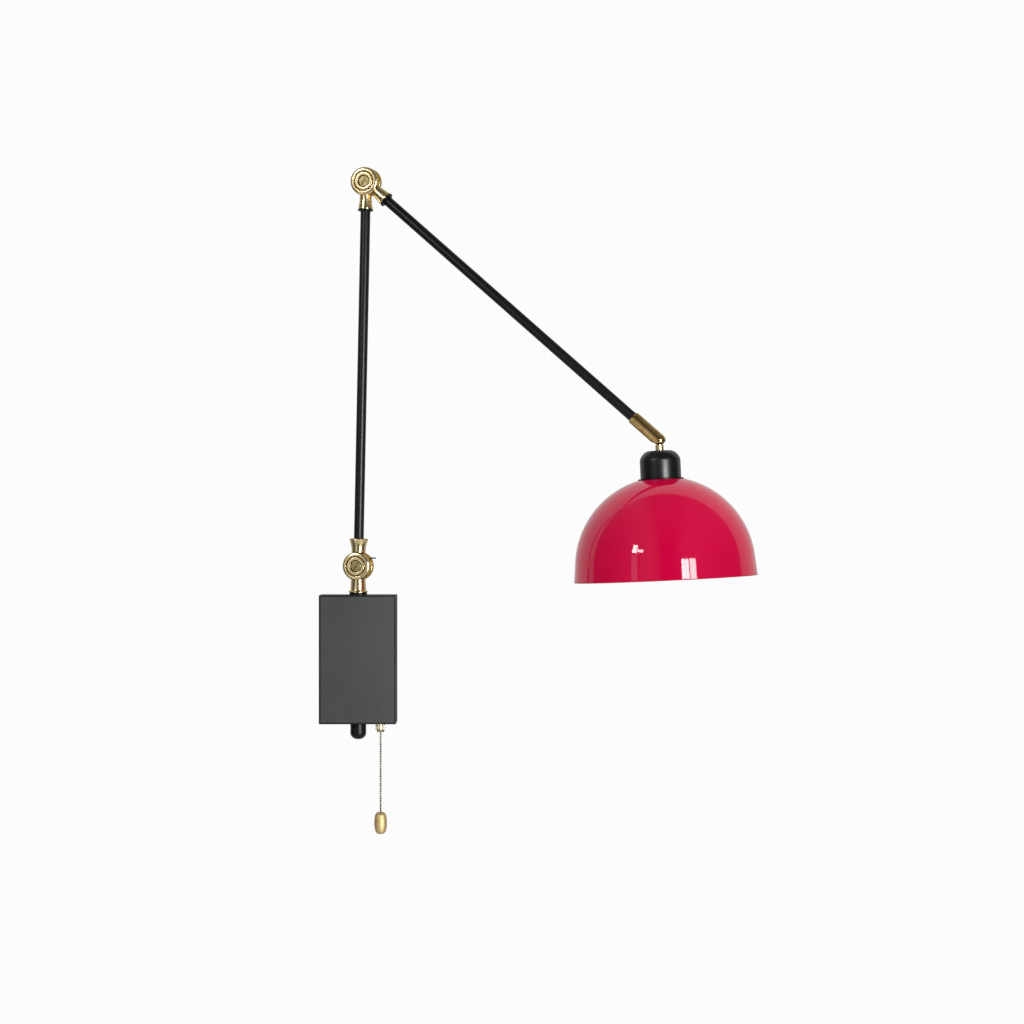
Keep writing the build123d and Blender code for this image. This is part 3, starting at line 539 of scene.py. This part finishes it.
def turn(name: str, outline: Sequence[Point], ends: Ends = Ends.FLAT, sides: int = 96) -> Piece:
    """Turns a round piece about Z: a ring is extruded and resized along the outline.

    Args:
        name: the piece's name.
        outline: radius and height of each ring in millimetres. A radius of 0 at an end makes a pole.
        ends: how ends away from the axis are closed.
        sides: number of sides.

    Returns:
        The new object.
    """
    deselect()
    rings = [point for point in outline if point[0] > 0]
    radius, height = rings[0]
    bpy.ops.mesh.primitive_circle_add(vertices=sides, radius=radius * MM, location=(0.0, 0.0, height * MM))
    piece = bpy.context.active_object
    piece.name = name
    bpy.ops.object.transform_apply(location=True, rotation=False, scale=False)
    bpy.ops.object.mode_set(mode="EDIT")
    bpy.ops.mesh.select_mode(type="VERT")
    bpy.ops.mesh.select_all(action="SELECT")
    for before, after in zip(rings, rings[1:]):
        extrude(after[1] - before[1])
        bpy.ops.transform.resize(value=(after[0] / before[0], after[0] / before[0], 1.0),
                                 center_override=(0.0, 0.0, after[1] * MM))
    close_ring(outline[-1], rings[-1], ends)
    if ends is not Ends.JOINED:
        first = bmesh.from_edit_mesh(piece.data)
        first.verts.ensure_lookup_table()
        bpy.ops.mesh.select_all(action="DESELECT")
        for vertex in first.verts[:sides]:
            vertex.select_set(True)
        first.select_flush_mode()
        bmesh.update_edit_mesh(piece.data)
        close_ring(outline[0], rings[0], ends)
    smooth(piece)
    return piece


def extrude(height: float) -> None:
    """Extrudes the selected ring along Z by a height in millimetres, in edit mode."""
    bpy.ops.mesh.extrude_region_move(TRANSFORM_OT_translate={"value": (0.0, 0.0, height * MM)})


def close_ring(end: Point, ring: Point, ends: Ends) -> None:
    """Closes the selected ring at an end of a turned piece, in edit mode.

    Args:
        end: the outline's end point, on the axis for a pole.
        ring: radius and height of the last ring.
        ends: how an end away from the axis is closed.
    """
    if end[0] == 0:
        extrude(end[1] - ring[1])
        bpy.ops.mesh.merge(type="CENTER")
    elif ends is Ends.FLAT:
        bpy.ops.mesh.edge_face_add()


def smooth(piece: Piece, angle: float = 32.0) -> None:
    """Merges doubles, points the faces outwards and shades smooth all but the edges sharper than an angle."""
    choose(piece)
    bpy.ops.object.mode_set(mode="EDIT")
    bpy.ops.mesh.select_all(action="SELECT")
    bpy.ops.mesh.remove_doubles(threshold=SAME_PLACE)
    bpy.ops.mesh.normals_make_consistent(inside=False)
    bpy.ops.object.mode_set(mode="OBJECT")
    bpy.ops.object.shade_smooth_by_angle(angle=math.radians(angle))


def apply_modifier(piece: Piece, kind: str, **settings: object) -> None:
    """Adds a modifier with its settings and applies it."""
    choose(piece)
    modifier = piece.modifiers.new(kind.lower(), kind)
    for key, value in settings.items():
        setattr(modifier, key, value)
    bpy.ops.object.modifier_apply(modifier=modifier.name)


def combine(piece: Piece, other: Piece, operation: str) -> None:
    """Adds another closed object to a piece, or cuts it away, and deletes it.

    Args:
        piece: the object that is kept.
        other: the object that is used up.
        operation: UNION or DIFFERENCE.
    """
    apply_modifier(piece, "BOOLEAN", operation=operation, object=other, solver="EXACT")
    bpy.data.objects.remove(other)


def move(piece: Piece, place: Matrix) -> Piece:
    """Moves a piece's mesh to its place and leaves its object at the origin."""
    choose(piece)
    piece.matrix_world = place
    bpy.ops.object.transform_apply(location=True, rotation=True, scale=True)
    return piece


def settle(piece: Piece, place: Matrix, finish: Finish, slot: Slot, body: str, *nodes: str) -> None:
    """Puts a finished piece on its body in place of its CAD nodes.

    Args:
        piece: the new piece, made about its own origin.
        place: where that origin lies.
        finish: its finish, unless it already has one.
        slot: not used.
        body: the CAD body that it moves with.
        nodes: the CAD nodes that it stands for.
    """
    move(piece, place)
    if not piece.data.materials:
        piece.data.materials.append(finish.material())
    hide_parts(*nodes)
    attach(piece, body)
    LOG.info("built %s on %s, %d faces", piece.name, body, len(piece.data.polygons))


def shift(x: float, y: float, z: float) -> Matrix:
    """Matrix of a move in millimetres."""
    return Matrix.Translation(Vector((x, y, z)) * MM)


def tilt(angle: float, axis: str) -> Matrix:
    """Matrix of a turn in degrees about an axis."""
    return Matrix.Rotation(math.radians(angle), 4, axis)


@dataclass(frozen=True)
class RestPose:
    """Where each sub-assembly lies at rest: each arm's angle is from straight up."""

    wall_to_axis: float = 16.0
    swing_angle: float = -14.0
    lower_angle: float = 1.22
    upper_angle: float = 131.2
    head_angle: float = 177.2
    shoulder_height: float = 90.65
    lower_length: float = 374.9
    upper_length: float = 385.9
    switch_x: float = 21.8

    def axis(self) -> Matrix:
        """The vertical axis in the middle of the box."""
        return shift(0.0, -self.wall_to_axis, 0.0)

    def switch(self) -> Matrix:
        """The pull chain's axis."""
        return shift(self.switch_x, -self.wall_to_axis, 0.0)

    def shoulder(self) -> Matrix:
        """The lower swivel's centre, on the post."""
        return self.axis() @ tilt(self.swing_angle, "Z") @ shift(0.0, 0.0, self.shoulder_height)

    def lower(self) -> Matrix:
        """The lower arm's foot."""
        return self.shoulder() @ tilt(self.lower_angle, "Y")

    def elbow(self) -> Matrix:
        """The upper swivel's centre, on the lower arm."""
        return self.lower() @ shift(0.0, 0.0, self.lower_length)

    def upper(self) -> Matrix:
        """The upper arm's foot."""
        return self.elbow() @ tilt(self.upper_angle - self.lower_angle, "Y")

    def head(self) -> Matrix:
        """The ball's centre, with the head hanging down its -Z."""
        return (self.upper() @ shift(0.0, 0.0, self.upper_length)
                @ tilt(self.head_angle - self.upper_angle - 180.0, "Y"))


REST = RestPose()
TO_FRONT = tilt(90.0, "X")
TO_BACK = tilt(180.0, "Z")
UPSIDE_DOWN = tilt(180.0, "Y")


@dataclass(frozen=True)
class WallBox:
    """Cover box, cord gland and the switch's spout."""

    width: float = 74.8
    height: float = 125.2
    depth: float = 32.0
    wall: float = 1.5
    edge_radius: float = 0.6
    post_hole_radius: float = 6.5
    gland_hole_radius: float = 6.1
    spout_hole_radius: float = 3.9
    screw_hole_radius: float = 2.02
    screw_y: float = -7.5
    gland_radius: float = 7.75
    gland_length: float = 9.6
    gland_dome: float = 6.3
    gland_exit_radius: float = 2.4
    gland_seat: float = 11.5
    gland_seal_radius: float = 5.02
    gland_seal_height: float = 1.6
    gland_thread_radius: float = 6.02
    spout_radius: float = 3.8
    spout_drop: float = 8.9
    spout_bore_radius: float = 1.6
    spout_top: float = -58.6
    thread_pitch: float = 1.0
    thread_depth: float = 0.3
    ring_nut_height: float = 6.2

    def build(self) -> None:
        """Builds the box's visible pieces."""
        settle(self.cover(), Matrix.Identity(4), BOX_COAT, Slot.BOX, "wall_box", "cover_box")
        settle(self.gland(), REST.axis(), NYLON, Slot.NYLON, "wall_box", "gland_dome_nut")
        settle(self.spout(), REST.switch(), NICKEL, Slot.NICKEL, "wall_box", "switch_spout")

    def cover(self) -> Piece:
        """Folds the cover: a box without its back, with rolled edges, a wall and its holes.

        Returns:
            The cover, in the lamp's frame.
        """
        deselect()
        bpy.ops.mesh.primitive_cube_add(size=1.0, location=(0.0, -self.depth / 2 * MM, 0.0))
        cover = bpy.context.active_object
        cover.name = "cover_box_shell"
        cover.scale = (self.width * MM, self.depth * MM, self.height * MM)
        bpy.ops.object.transform_apply(location=True, rotation=False, scale=True)
        bpy.ops.object.mode_set(mode="EDIT")
        pick(cover, "EDGE", lambda centre, along: centre.y < -SAME_PLACE)
        bpy.ops.mesh.bevel(offset=self.edge_radius * MM, segments=6, profile=0.5)
        pick(cover, "FACE", lambda centre, normal: normal.y > 0.9)
        bpy.ops.mesh.delete(type="FACE")
        bpy.ops.object.mode_set(mode="OBJECT")
        apply_modifier(cover, "SOLIDIFY", thickness=self.wall * MM, offset=-1.0)
        top = self.height / 2
        for radius, place in ((self.post_hole_radius, REST.axis() @ shift(0.0, 0.0, top)),
                              (self.gland_hole_radius, REST.axis() @ shift(0.0, 0.0, -top)),
                              (self.spout_hole_radius, REST.switch() @ shift(0.0, 0.0, -top))):
            combine(cover, self.drill(radius, 4 * self.wall, place), "DIFFERENCE")
        sideways = shift(0.0, self.screw_y, 0.0) @ tilt(90.0, "Y")
        combine(cover, self.drill(self.screw_hole_radius, 2 * self.width, sideways), "DIFFERENCE")
        smooth(cover, 25.0)
        return cover

    def drill(self, radius: float, length: float, place: Matrix) -> Piece:
        """Makes a round cutter, centred on its place."""
        return move(turn("drill", [(radius, -length / 2), (radius, length / 2)], sides=48), place)

    def gland(self) -> Piece:
        """Turns the domed gland nut, with its cord exit."""
        top = -self.height / 2
        low = top - self.gland_length
        swell = math.sqrt(1 - (self.gland_exit_radius / self.gland_radius) ** 2)
        dome = [(self.gland_radius * math.cos(angle), low - self.gland_dome * math.sin(angle))
                for angle in (math.asin(swell) * step / 12 for step in range(1, 13))]
        outline = rounded([(self.gland_thread_radius, top, 0), (self.gland_radius, top, 0.4),
                           (self.gland_radius, low, 0)])
        seat = top - self.gland_seat
        pocket = seat - self.gland_seal_height
        bore = [(self.gland_exit_radius, dome[-1][1] + 0.4), (self.gland_exit_radius, pocket),
                (self.gland_seal_radius, pocket), (self.gland_seal_radius, seat),
                (self.gland_thread_radius, seat), (self.gland_thread_radius, top)]
        return turn("gland_dome_cap", outline + dome + bore, Ends.OPEN)

    def spout(self) -> Piece:
        """Turns the threaded spout that the chain leaves by."""
        mouth = -self.height / 2 - self.spout_drop
        outline = [(self.spout_bore_radius, self.spout_top), (self.spout_radius, self.spout_top)]
        thread_start = -self.height / 2 - self.ring_nut_height + self.thread_pitch
        ridges = int((thread_start - mouth - 1.2) / self.thread_pitch) + 1
        for ridge in range(ridges):
            crest = thread_start - ridge * self.thread_pitch
            outline += [(self.spout_radius, crest), (self.spout_radius - self.thread_depth,
                        crest - self.thread_pitch / 2)]
        outline += [(self.spout_radius, mouth + 1.3)]
        outline += arc((self.spout_radius, mouth + 1.3), (self.spout_radius - 0.4, mouth + 0.4),
                       (self.spout_radius - 1.3, mouth), 6)
        outline += [(self.spout_bore_radius + 0.3, mouth), (self.spout_bore_radius, mouth + 0.3)]
        return turn("switch_spout_thread", outline + [outline[0]], Ends.JOINED, 64)


@dataclass(frozen=True)
class SwivelHalf:
    """Brass half of a swivel: a disc with a groove, a boss and a recess, on a neck along Z."""

    radius: float = 13.85
    half_depth: float = 8.5
    seat: float = 0.3
    rim: float = 2.6
    groove_outer: float = 10.1
    groove_depth: float = 1.3
    boss_radius: float = 8.7
    boss_edge: float = 0.45
    recess_radius: float = 5.9
    recess_depth: float = 2.6
    neck_root: float = 6.75
    neck_end: float = 9.1
    neck_length: float = 26.8
    neck_edge: float = 0.7
    socket_radius: float = 4.83
    socket_start: float = 18.8

    def build(self, name: str) -> Piece:
        """Joins the disc and its neck, and clears the other half's side.

        Args:
            name: the piece's name.

        Returns:
            The half, its disc towards -Y and its neck along +Z.
        """
        half = move(turn(name, self.disc()), TO_FRONT)
        combine(half, turn("neck", self.neck()), "UNION")
        clearance = self.radius + self.seat
        other_side = [(clearance, -self.half_depth - 2), (clearance, self.seat)]
        combine(half, move(turn("other_side", other_side), TO_FRONT), "DIFFERENCE")
        smooth(half, 28.0)
        self.dull_hollows(half)
        return half

    def disc(self) -> list[Point]:
        """Outline of the disc, from its seat out to the floor of the recess."""
        face = self.half_depth
        return rounded([(self.radius - 0.3, self.seat, 0), (self.radius, self.seat, 0.25),
                        (self.radius, face, self.rim), (self.groove_outer, face, 0.3),
                        (self.groove_outer - 0.15, face - self.groove_depth, 0.2),
                        (self.boss_radius + 0.1, face - self.groove_depth, 0.2),
                        (self.boss_radius, face, self.boss_edge), (self.recess_radius, face, self.boss_edge),
                        (self.recess_radius, face - self.recess_depth, 0),
                        (self.recess_radius - 1, face - self.recess_depth, 0)], 5)

    def neck(self) -> list[Point]:
        """Outline of a neck that flares to its rounded end, with the tube's socket in it."""
        root = self.radius + 2 * self.seat
        flare_end = self.neck_length - self.neck_edge
        rise, out = flare_end - root, self.neck_end - self.neck_root
        bend = (rise ** 2 + out ** 2) / (2 * out)
        flare = [(self.neck_root + bend - math.sqrt(bend ** 2 - up ** 2), root + up)
                 for up in (rise * step / 10 for step in range(11))]
        end = rounded([(*flare[-1], 0), (self.neck_end, self.neck_length, self.neck_edge),
                       (self.socket_radius, self.neck_length, 0.3),
                       (self.socket_radius, self.socket_start, 0)])
        return [(self.neck_root, 0.0), (self.neck_root, root / 2)] + flare[:-1] + end

    def dull_hollows(self, half: Piece) -> None:
        """Gives the polish to the outside and leaves the groove and the recess unpolished."""
        half.data.materials.append(BRASS.material())
        half.data.materials.append(TARNISHED_BRASS.material())
        face = -self.half_depth * MM
        for polygon in half.data.polygons:
            out = math.hypot(polygon.center.x, polygon.center.z) / MM
            deep = polygon.center.y > face + 0.25 * MM
            groove = self.boss_radius < out < self.groove_outer
            hollow = deep and polygon.center.y < face / 3 and (groove or out < self.recess_radius + 0.1)
            polygon.material_index = int(hollow)


@dataclass(frozen=True)
class PostHalf(SwivelHalf):
    """Front half of the shoulder swivel, whose neck is the post that turns on the box."""

    neck_root: float = 7.0
    neck_end: float = 7.6
    neck_length: float = 25.6
    flange_radius: float = 9.5
    flange_height: float = 1.65
    stem_radius: float = 5.0
    stem_length: float = 11.0
    bore_radius: float = 3.2

    def neck(self) -> list[Point]:
        """Outline of the post: slightly tapered, a small flared collar, and the hollow stem under it."""
        root = self.radius + 2 * self.seat
        under = self.neck_length - self.flange_height
        stem_end = self.neck_length + self.stem_length
        return rounded([(self.neck_root, 0, 0), (self.neck_root, root, 0), (self.neck_end, under, 0.6),
                        (self.flange_radius, under + self.flange_height / 2, 0.5),
                        (self.flange_radius, self.neck_length, 0.2), (self.stem_radius, self.neck_length, 0),
                        (self.stem_radius, stem_end, 0.3), (self.bore_radius, stem_end, 0.3),
                        (self.bore_radius, self.neck_length, 0)])


@dataclass(frozen=True)
class Arms:
    """The two swivels and the two tubes."""

    front_recess: float = 2.6
    rear_recess: float = 4.6
    elbow_root: float = 5.75
    elbow_end: float = 7.05
    tube_radius: float = 4.8
    tube_wall: float = 1.0
    tube_start: float = 18.8
    lower_tube_end: float = 356.1
    upper_tube_end: float = 360.45
    pin_hole_radius: float = 0.67
    pin_height: float = 8.0
    pin_depth: float = 4.4
    pin_start: float = 8.3
    pin_end: float = 16.5

    def build(self) -> None:
        """Builds the brass halves and the tubes."""
        post = PostHalf(recess_depth=self.front_recess).build("base_post_casting")
        settle(post, REST.shoulder() @ UPSIDE_DOWN, BRASS, Slot.BRASS, "swing_post", "base_post")
        rear = SwivelHalf(recess_depth=self.rear_recess).build("shoulder_rear_casting")
        move(rear, TO_BACK)
        combine(rear, self.pin_hole(), "DIFFERENCE")
        settle(rear, REST.lower(), BRASS, Slot.BRASS, "lower_arm", "shoulder_arm_half")
        elbow = {"neck_root": self.elbow_root, "neck_end": self.elbow_end}
        front = SwivelHalf(recess_depth=self.front_recess, **elbow).build("elbow_front_casting")
        settle(front, REST.elbow() @ UPSIDE_DOWN, BRASS, Slot.BRASS, "lower_arm", "elbow_lower_half")
        back = SwivelHalf(recess_depth=self.rear_recess, **elbow).build("elbow_rear_casting")
        settle(back, REST.upper() @ TO_BACK, BRASS, Slot.BRASS, "upper_arm", "elbow_upper_half")
        settle(self.tube("lower_arm_tube", self.lower_tube_end), REST.lower(), TUBE_ENAMEL, Slot.TUBE,
               "lower_arm", "lower_tube")
        settle(self.tube("upper_arm_tube", self.upper_tube_end), REST.upper(), TUBE_ENAMEL, Slot.TUBE,
               "upper_arm", "upper_tube")

    def pin_hole(self) -> Piece:
        """Makes the cutter of the stop pin's hole."""
        outline = [(self.pin_hole_radius, self.pin_start), (self.pin_hole_radius, self.pin_end)]
        hole = turn("pin_hole", outline, sides=24)
        return move(hole, shift(0.0, self.pin_depth, self.pin_height) @ tilt(90.0, "Y"))

    def tube(self, name: str, end: float) -> Piece:
        """Draws an arm tube with its ends deburred."""
        inner = self.tube_radius - self.tube_wall
        outline = rounded([(inner, self.tube_start, 0), (self.tube_radius, self.tube_start, 0.2),
                           (self.tube_radius, end, 0.2), (inner, end, 0), (inner, self.tube_start, 0)])
        return turn(name, outline, Ends.JOINED, 64)


@dataclass(frozen=True)
class LampHead:
    """Cup, seat ring, shade and bulb, hanging from the ball."""

    stem_radius: float = 3.92
    cup_drop: float = 9.9
    cup_top_radius: float = 11.6
    cup_radius: float = 19.3
    cup_height: float = 26.3
    cup_shoulder_height: float = 8.8
    cup_middle: Point = (16.6, 3.4)
    cup_wall: float = 1.5
    ring_radius: float = 21.8
    ring_height: float = 1.0
    hole_radius: float = 14.6
    shade_radius: float = 85.4
    rim_radius: float = 87.2
    skirt: float = 11.9
    wall: float = 0.9
    bead: float = 0.9
    bead_turns: float = 0.62
    cone_angle: float = 5.5
    crown_steps: int = 40
    cap_top: float = -27.7
    cap_radius: float = 12.6
    glass_top: float = -45.7
    glass_neck: float = 11.0
    glass_radius: float = 24.0
    glass_length: float = 62.0
    glass_wall: float = 0.8
    glass_join_angle: float = 30.0
    thread_pitch: float = 3.6

    def build(self) -> None:
        """Builds the head's visible round pieces."""
        place = REST.head()
        settle(self.cup(), place, CUP_ENAMEL, Slot.CUP, "head", "socket_cup")
        settle(self.seat(), place, NYLON, Slot.NYLON, "head", "seat_ring")
        settle(self.shade(), place, SHADE_OUTSIDE, Slot.SHADE, "head", "shade")
        settle(self.cap(), place, ALUMINIUM, Slot.CAP, "head", "bulb_cap")
        settle(self.glass(), place, OPAL_GLASS, Slot.GLASS, "head", "bulb_glass")

    def cup_low(self) -> float:
        """Height of the cup's open edge."""
        return -self.cup_drop - self.cup_height

    def cup(self) -> Piece:
        """Turns the cup: flat top, round shoulder and straight side, all in one wall."""
        top, low = -self.cup_drop, self.cup_low()
        side = top - self.cup_shoulder_height
        middle = (self.cup_middle[0], top - self.cup_middle[1])
        inner_side, inner_top = self.cup_radius - self.cup_wall, self.cup_top_radius - self.cup_wall
        inner_middle = (middle[0] - self.cup_wall, middle[1] - self.cup_wall)
        outline = [(self.stem_radius, top), (self.cup_top_radius, top)]
        outline += arc(outline[-1], middle, (self.cup_radius, side), 12)
        outline += rounded([(self.cup_radius, side - 1, 0), (self.cup_radius, low, 0.3),
                            (inner_side, low, 0.3), (inner_side, side, 0)])
        outline += arc((inner_side, side), inner_middle, (inner_top, top - self.cup_wall), 12)
        outline += [(self.stem_radius, top - self.cup_wall), (self.stem_radius, top)]
        return turn("socket_cup_spinning", outline, Ends.JOINED, 128)

    def seat(self) -> Piece:
        """Turns the thin ring between cup and shade."""
        top, low = self.cup_low(), self.cup_low() - self.ring_height
        outline = rounded([(self.hole_radius, top, 0), (self.ring_radius, top, 0.3),
                           (self.ring_radius, low, 0.3), (self.hole_radius, low, 0),
                           (self.hole_radius, top, 0)])
        return turn("seat_ring_moulding", outline, Ends.JOINED, 128)

    def skin(self, radius: float, top: float, centre: float, reach: float) -> list[Point]:
        """Follows one skin of the shade from its flat seat down its crown and its slightly conical skirt.

        Args:
            radius: the crown's radius.
            top: height of the flat seat.
            centre: height of the crown's centre.
            reach: how far down the skirt it goes.

        Returns:
            The skin's points, from the top.
        """
        start = math.asin((top - centre) / radius)
        end = math.radians(self.cone_angle)
        angles = [start + (end - start) * step / self.crown_steps for step in range(self.crown_steps + 1)]
        crown = [(radius * math.cos(angle), centre + radius * math.sin(angle)) for angle in angles]
        drop = crown[-1][1] - centre + reach
        skirt = [(crown[-1][0] + math.tan(end) * drop * step / 8, crown[-1][1] - drop * step / 8)
                 for step in range(1, 9)]
        return crown + skirt

    def shade(self) -> Piece:
        """Spins the dome with its skirt and rolls its bead; crimson outside, white inside."""
        top = self.cup_low() - self.ring_height
        centre = top - math.sqrt(self.shade_radius ** 2 - self.ring_radius ** 2)
        rim = centre - self.skirt
        outer = self.skin(self.shade_radius, top, centre, self.skirt - self.bead)
        inner = self.skin(self.shade_radius - self.wall, top - self.wall, centre,
                          self.skirt - 2.6 * self.bead)
        bead_radius = self.rim_radius - self.bead
        roll = [(bead_radius + self.bead * math.cos(angle), rim + self.bead + self.bead * math.sin(angle))
                for angle in (-math.tau * self.bead_turns * step / 14 for step in range(15))]
        outline = [(self.hole_radius, top)] + outer + roll + inner[::-1]
        outline += [(self.hole_radius, top - self.wall), (self.hole_radius, top)]
        shade = turn("shade_spinning", outline, Ends.JOINED, 192)
        shade.data.materials.append(SHADE_OUTSIDE.material())
        shade.data.materials.append(SHADE_INSIDE.material())
        heart = Vector((0.0, 0.0, centre)) * MM
        for polygon in shade.data.polygons:
            inwards = (polygon.center - heart).dot(polygon.normal) < 0
            polygon.material_index = int(inwards)
        return shade

    def cap(self) -> Piece:
        """Rolls the bulb's threaded cap and its button."""
        shoulder = self.cap_top
        outline = [(0, shoulder + 2.0), (5.2, shoulder + 2.0), (6.3, shoulder + 1.2), (6.3, shoulder),
                   (self.cap_radius - 1.2, shoulder - 0.3)]
        turns = int((shoulder - self.glass_top - 2) / self.thread_pitch)
        for ridge in range(turns):
            crest = shoulder - 1.2 - ridge * self.thread_pitch
            outline += [(self.cap_radius, crest - self.thread_pitch * 0.25),
                        (self.cap_radius - 0.2, crest - self.thread_pitch * 0.5),
                        (self.cap_radius - 0.9, crest - self.thread_pitch * 0.8)]
        outline += [(self.cap_radius, self.glass_top + 0.5), (self.cap_radius, self.glass_top)]
        return turn("bulb_cap_shell", outline + [(0, self.glass_top)])

    def glass(self) -> Piece:
        """Blows the bulb as one wall: a neck that swells to a ball, with a small opening at its pole."""
        return turn("bulb_glass_envelope", self.bulb(0.0) + self.bulb(self.glass_wall)[::-1])

    def bulb(self, inset: float) -> list[Point]:
        """Outline of the bulb's outer or inner skin, from its neck to its pole."""
        top = self.glass_top - inset
        radius = self.glass_radius - inset
        centre = self.glass_top - self.glass_length + self.glass_radius
        neck = self.glass_neck - inset
        join = math.radians(self.glass_join_angle)
        side = (radius * math.cos(join), centre + radius * math.sin(join))
        angles = [join - (join + math.pi / 2) * step / 24 for step in range(1, 24)]
        ball = [(radius * math.cos(angle), centre + radius * math.sin(angle)) for angle in angles]
        flare = rounded([(neck, top, 0), (neck, top - 9, 7), (*side, 0)], 8)
        return [(0, top)] + flare + ball + [(0, centre - radius)]


@dataclass(frozen=True)
class PullChain:
    """Ball chain and its knob."""

    top_bead: float = -73.9
    pitch: float = 2.4
    bead_radius: float = 1.0
    link_radius: float = 0.36
    beads: int = 32
    knob_radius: float = 6.15
    knob_length: float = 21.2
    knob_tip: float = 3.0
    knob_shoulder: Point = (5.55, 3.9)
    knob_widest: float = 12.0
    knob_foot: Point = (5.35, 17.5)
    knob_base: float = 1.8
    hole_radius: float = 1.05
    hole_depth: float = 3.6

    def build(self) -> None:
        """Builds the beads and the knob."""
        place = REST.switch()
        first = self.top_bead - self.pitch
        settle(self.strand("top_bead_ball", 1, self.top_bead), place, WORN_NICKEL, Slot.NICKEL, "top_bead",
               "chain_top_bead")
        settle(self.strand("ball_chain", self.beads, first), place, WORN_NICKEL, Slot.NICKEL, "chain",
               "pull_chain")
        last = first - (self.beads - 1) * self.pitch
        settle(self.knob(), place @ shift(0.0, 0.0, last + self.bead_radius + 0.05), BRUSHED_BRASS,
               Slot.BRASS, "chain", "pull_knob")

    def strand(self, name: str, count: int, top: float) -> Piece:
        """Makes one hollow ball with half a link each way, and repeats it down the chain.

        Args:
            name: the strand's name.
            count: number of balls.
            top: height of the first ball's centre.

        Returns:
            The strand.
        """
        lip = math.asin(self.link_radius / self.bead_radius * 1.5)
        angles = [lip + (math.pi - 2 * lip) * step / 8 for step in range(9)]
        ball = [(self.bead_radius * math.sin(angle), self.bead_radius * math.cos(angle)) for angle in angles]
        reach = self.pitch / 2 if count > 1 else self.bead_radius
        outline = [(self.link_radius, reach), (self.link_radius, ball[0][1] - 0.1)] + ball
        outline += [(self.link_radius, ball[-1][1] + 0.1), (self.link_radius, -reach)]
        strand = turn(name, outline, Ends.FLAT, 16)
        if count > 1:
            apply_modifier(strand, "ARRAY", count=count, use_relative_offset=False, use_constant_offset=True,
                           constant_offset_displace=(0.0, 0.0, -self.pitch * MM))
        return move(strand, shift(0.0, 0.0, top))

    def knob(self) -> Piece:
        """Turns the knob, fullest a little under its middle, with the chain's hole in its top."""
        shoulder = (self.knob_shoulder[0], -self.knob_shoulder[1])
        foot = (self.knob_foot[0], -self.knob_foot[1])
        low = -self.knob_length
        outline = [(0, -self.hole_depth), (self.hole_radius, -self.hole_depth), (self.hole_radius, -0.3),
                   (self.hole_radius + 0.3, 0.0), (self.knob_tip - 0.3, 0.0), (self.knob_tip, -0.1)]
        outline += arc(outline[-1], (0.82 * shoulder[0], 0.32 * shoulder[1]), shoulder, 8)
        outline += arc(shoulder, (self.knob_radius, -self.knob_widest), foot, 16)
        outline += arc(foot, (0.78 * foot[0], low - 0.32 * (low - foot[1])), (self.knob_base, low), 8)
        return turn("pull_knob_turning", outline + [(0, low)], sides=64)


def dress_frame() -> None:
    """Gives every CAD node that stays its finish."""
    ZINC.dress("mounting_bracket", "thrust_washer", "base_lock_nut", "cup_washer", "stem_nut")
    BLACK_STEEL.dress("cover_screws", "stop_pin")
    GREEN_STEEL.dress("ground_screw")
    NYLON.dress("base_bush", "gland_body", "gland_lock_nut", "elbow_lower_ring", "elbow_upper_ring")
    RUBBER.dress("gland_seal")
    PHENOLIC.dress("switch_body", "lampholder_body", "shade_ring")
    NICKEL.dress("switch_ring_nut")
    WORN_NICKEL.dress("switch_plunger")
    SPRING.dress("switch_spring", "shoulder_spring_washer", "elbow_spring_washer", "pad_spring", "stem_clip")
    CONNECTOR.dress("wire_connectors")
    WIRE.dress("arm_leads", "switch_leads", "lower_arm_wires", "upper_arm_wires", "head_leads")
    SCREW_BRASS.dress("shoulder_screw", "shoulder_nut", "elbow_screw", "elbow_nut")
    BRASS.dress("end_nipple", "stem", "lampholder_shell", "centre_contact")
    DRAWN_BRASS.dress("socket_sleeve")
    TARNISHED_BRASS.dress("ball_pad", "swivel_ball")
    FIBRE.dress("shoulder_friction_washer", "elbow_friction_washer")


def load_spring() -> None:
    """Gives the switch's spring a mesh of its own."""
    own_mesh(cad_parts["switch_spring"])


def main() -> None:
    """Builds the studio and the lamp's pieces in order."""
    logging.basicConfig(level=logging.INFO, format="%(name)s: %(message)s")
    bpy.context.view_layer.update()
    bpy.context.scene.view_settings.view_transform = "Standard"
    dress_frame()
    load_spring()
    for assembly in (WallBox(), Arms(), LampHead(), PullChain(), Studio()):
        assembly.build()


if __name__ == "__main__":
    main()
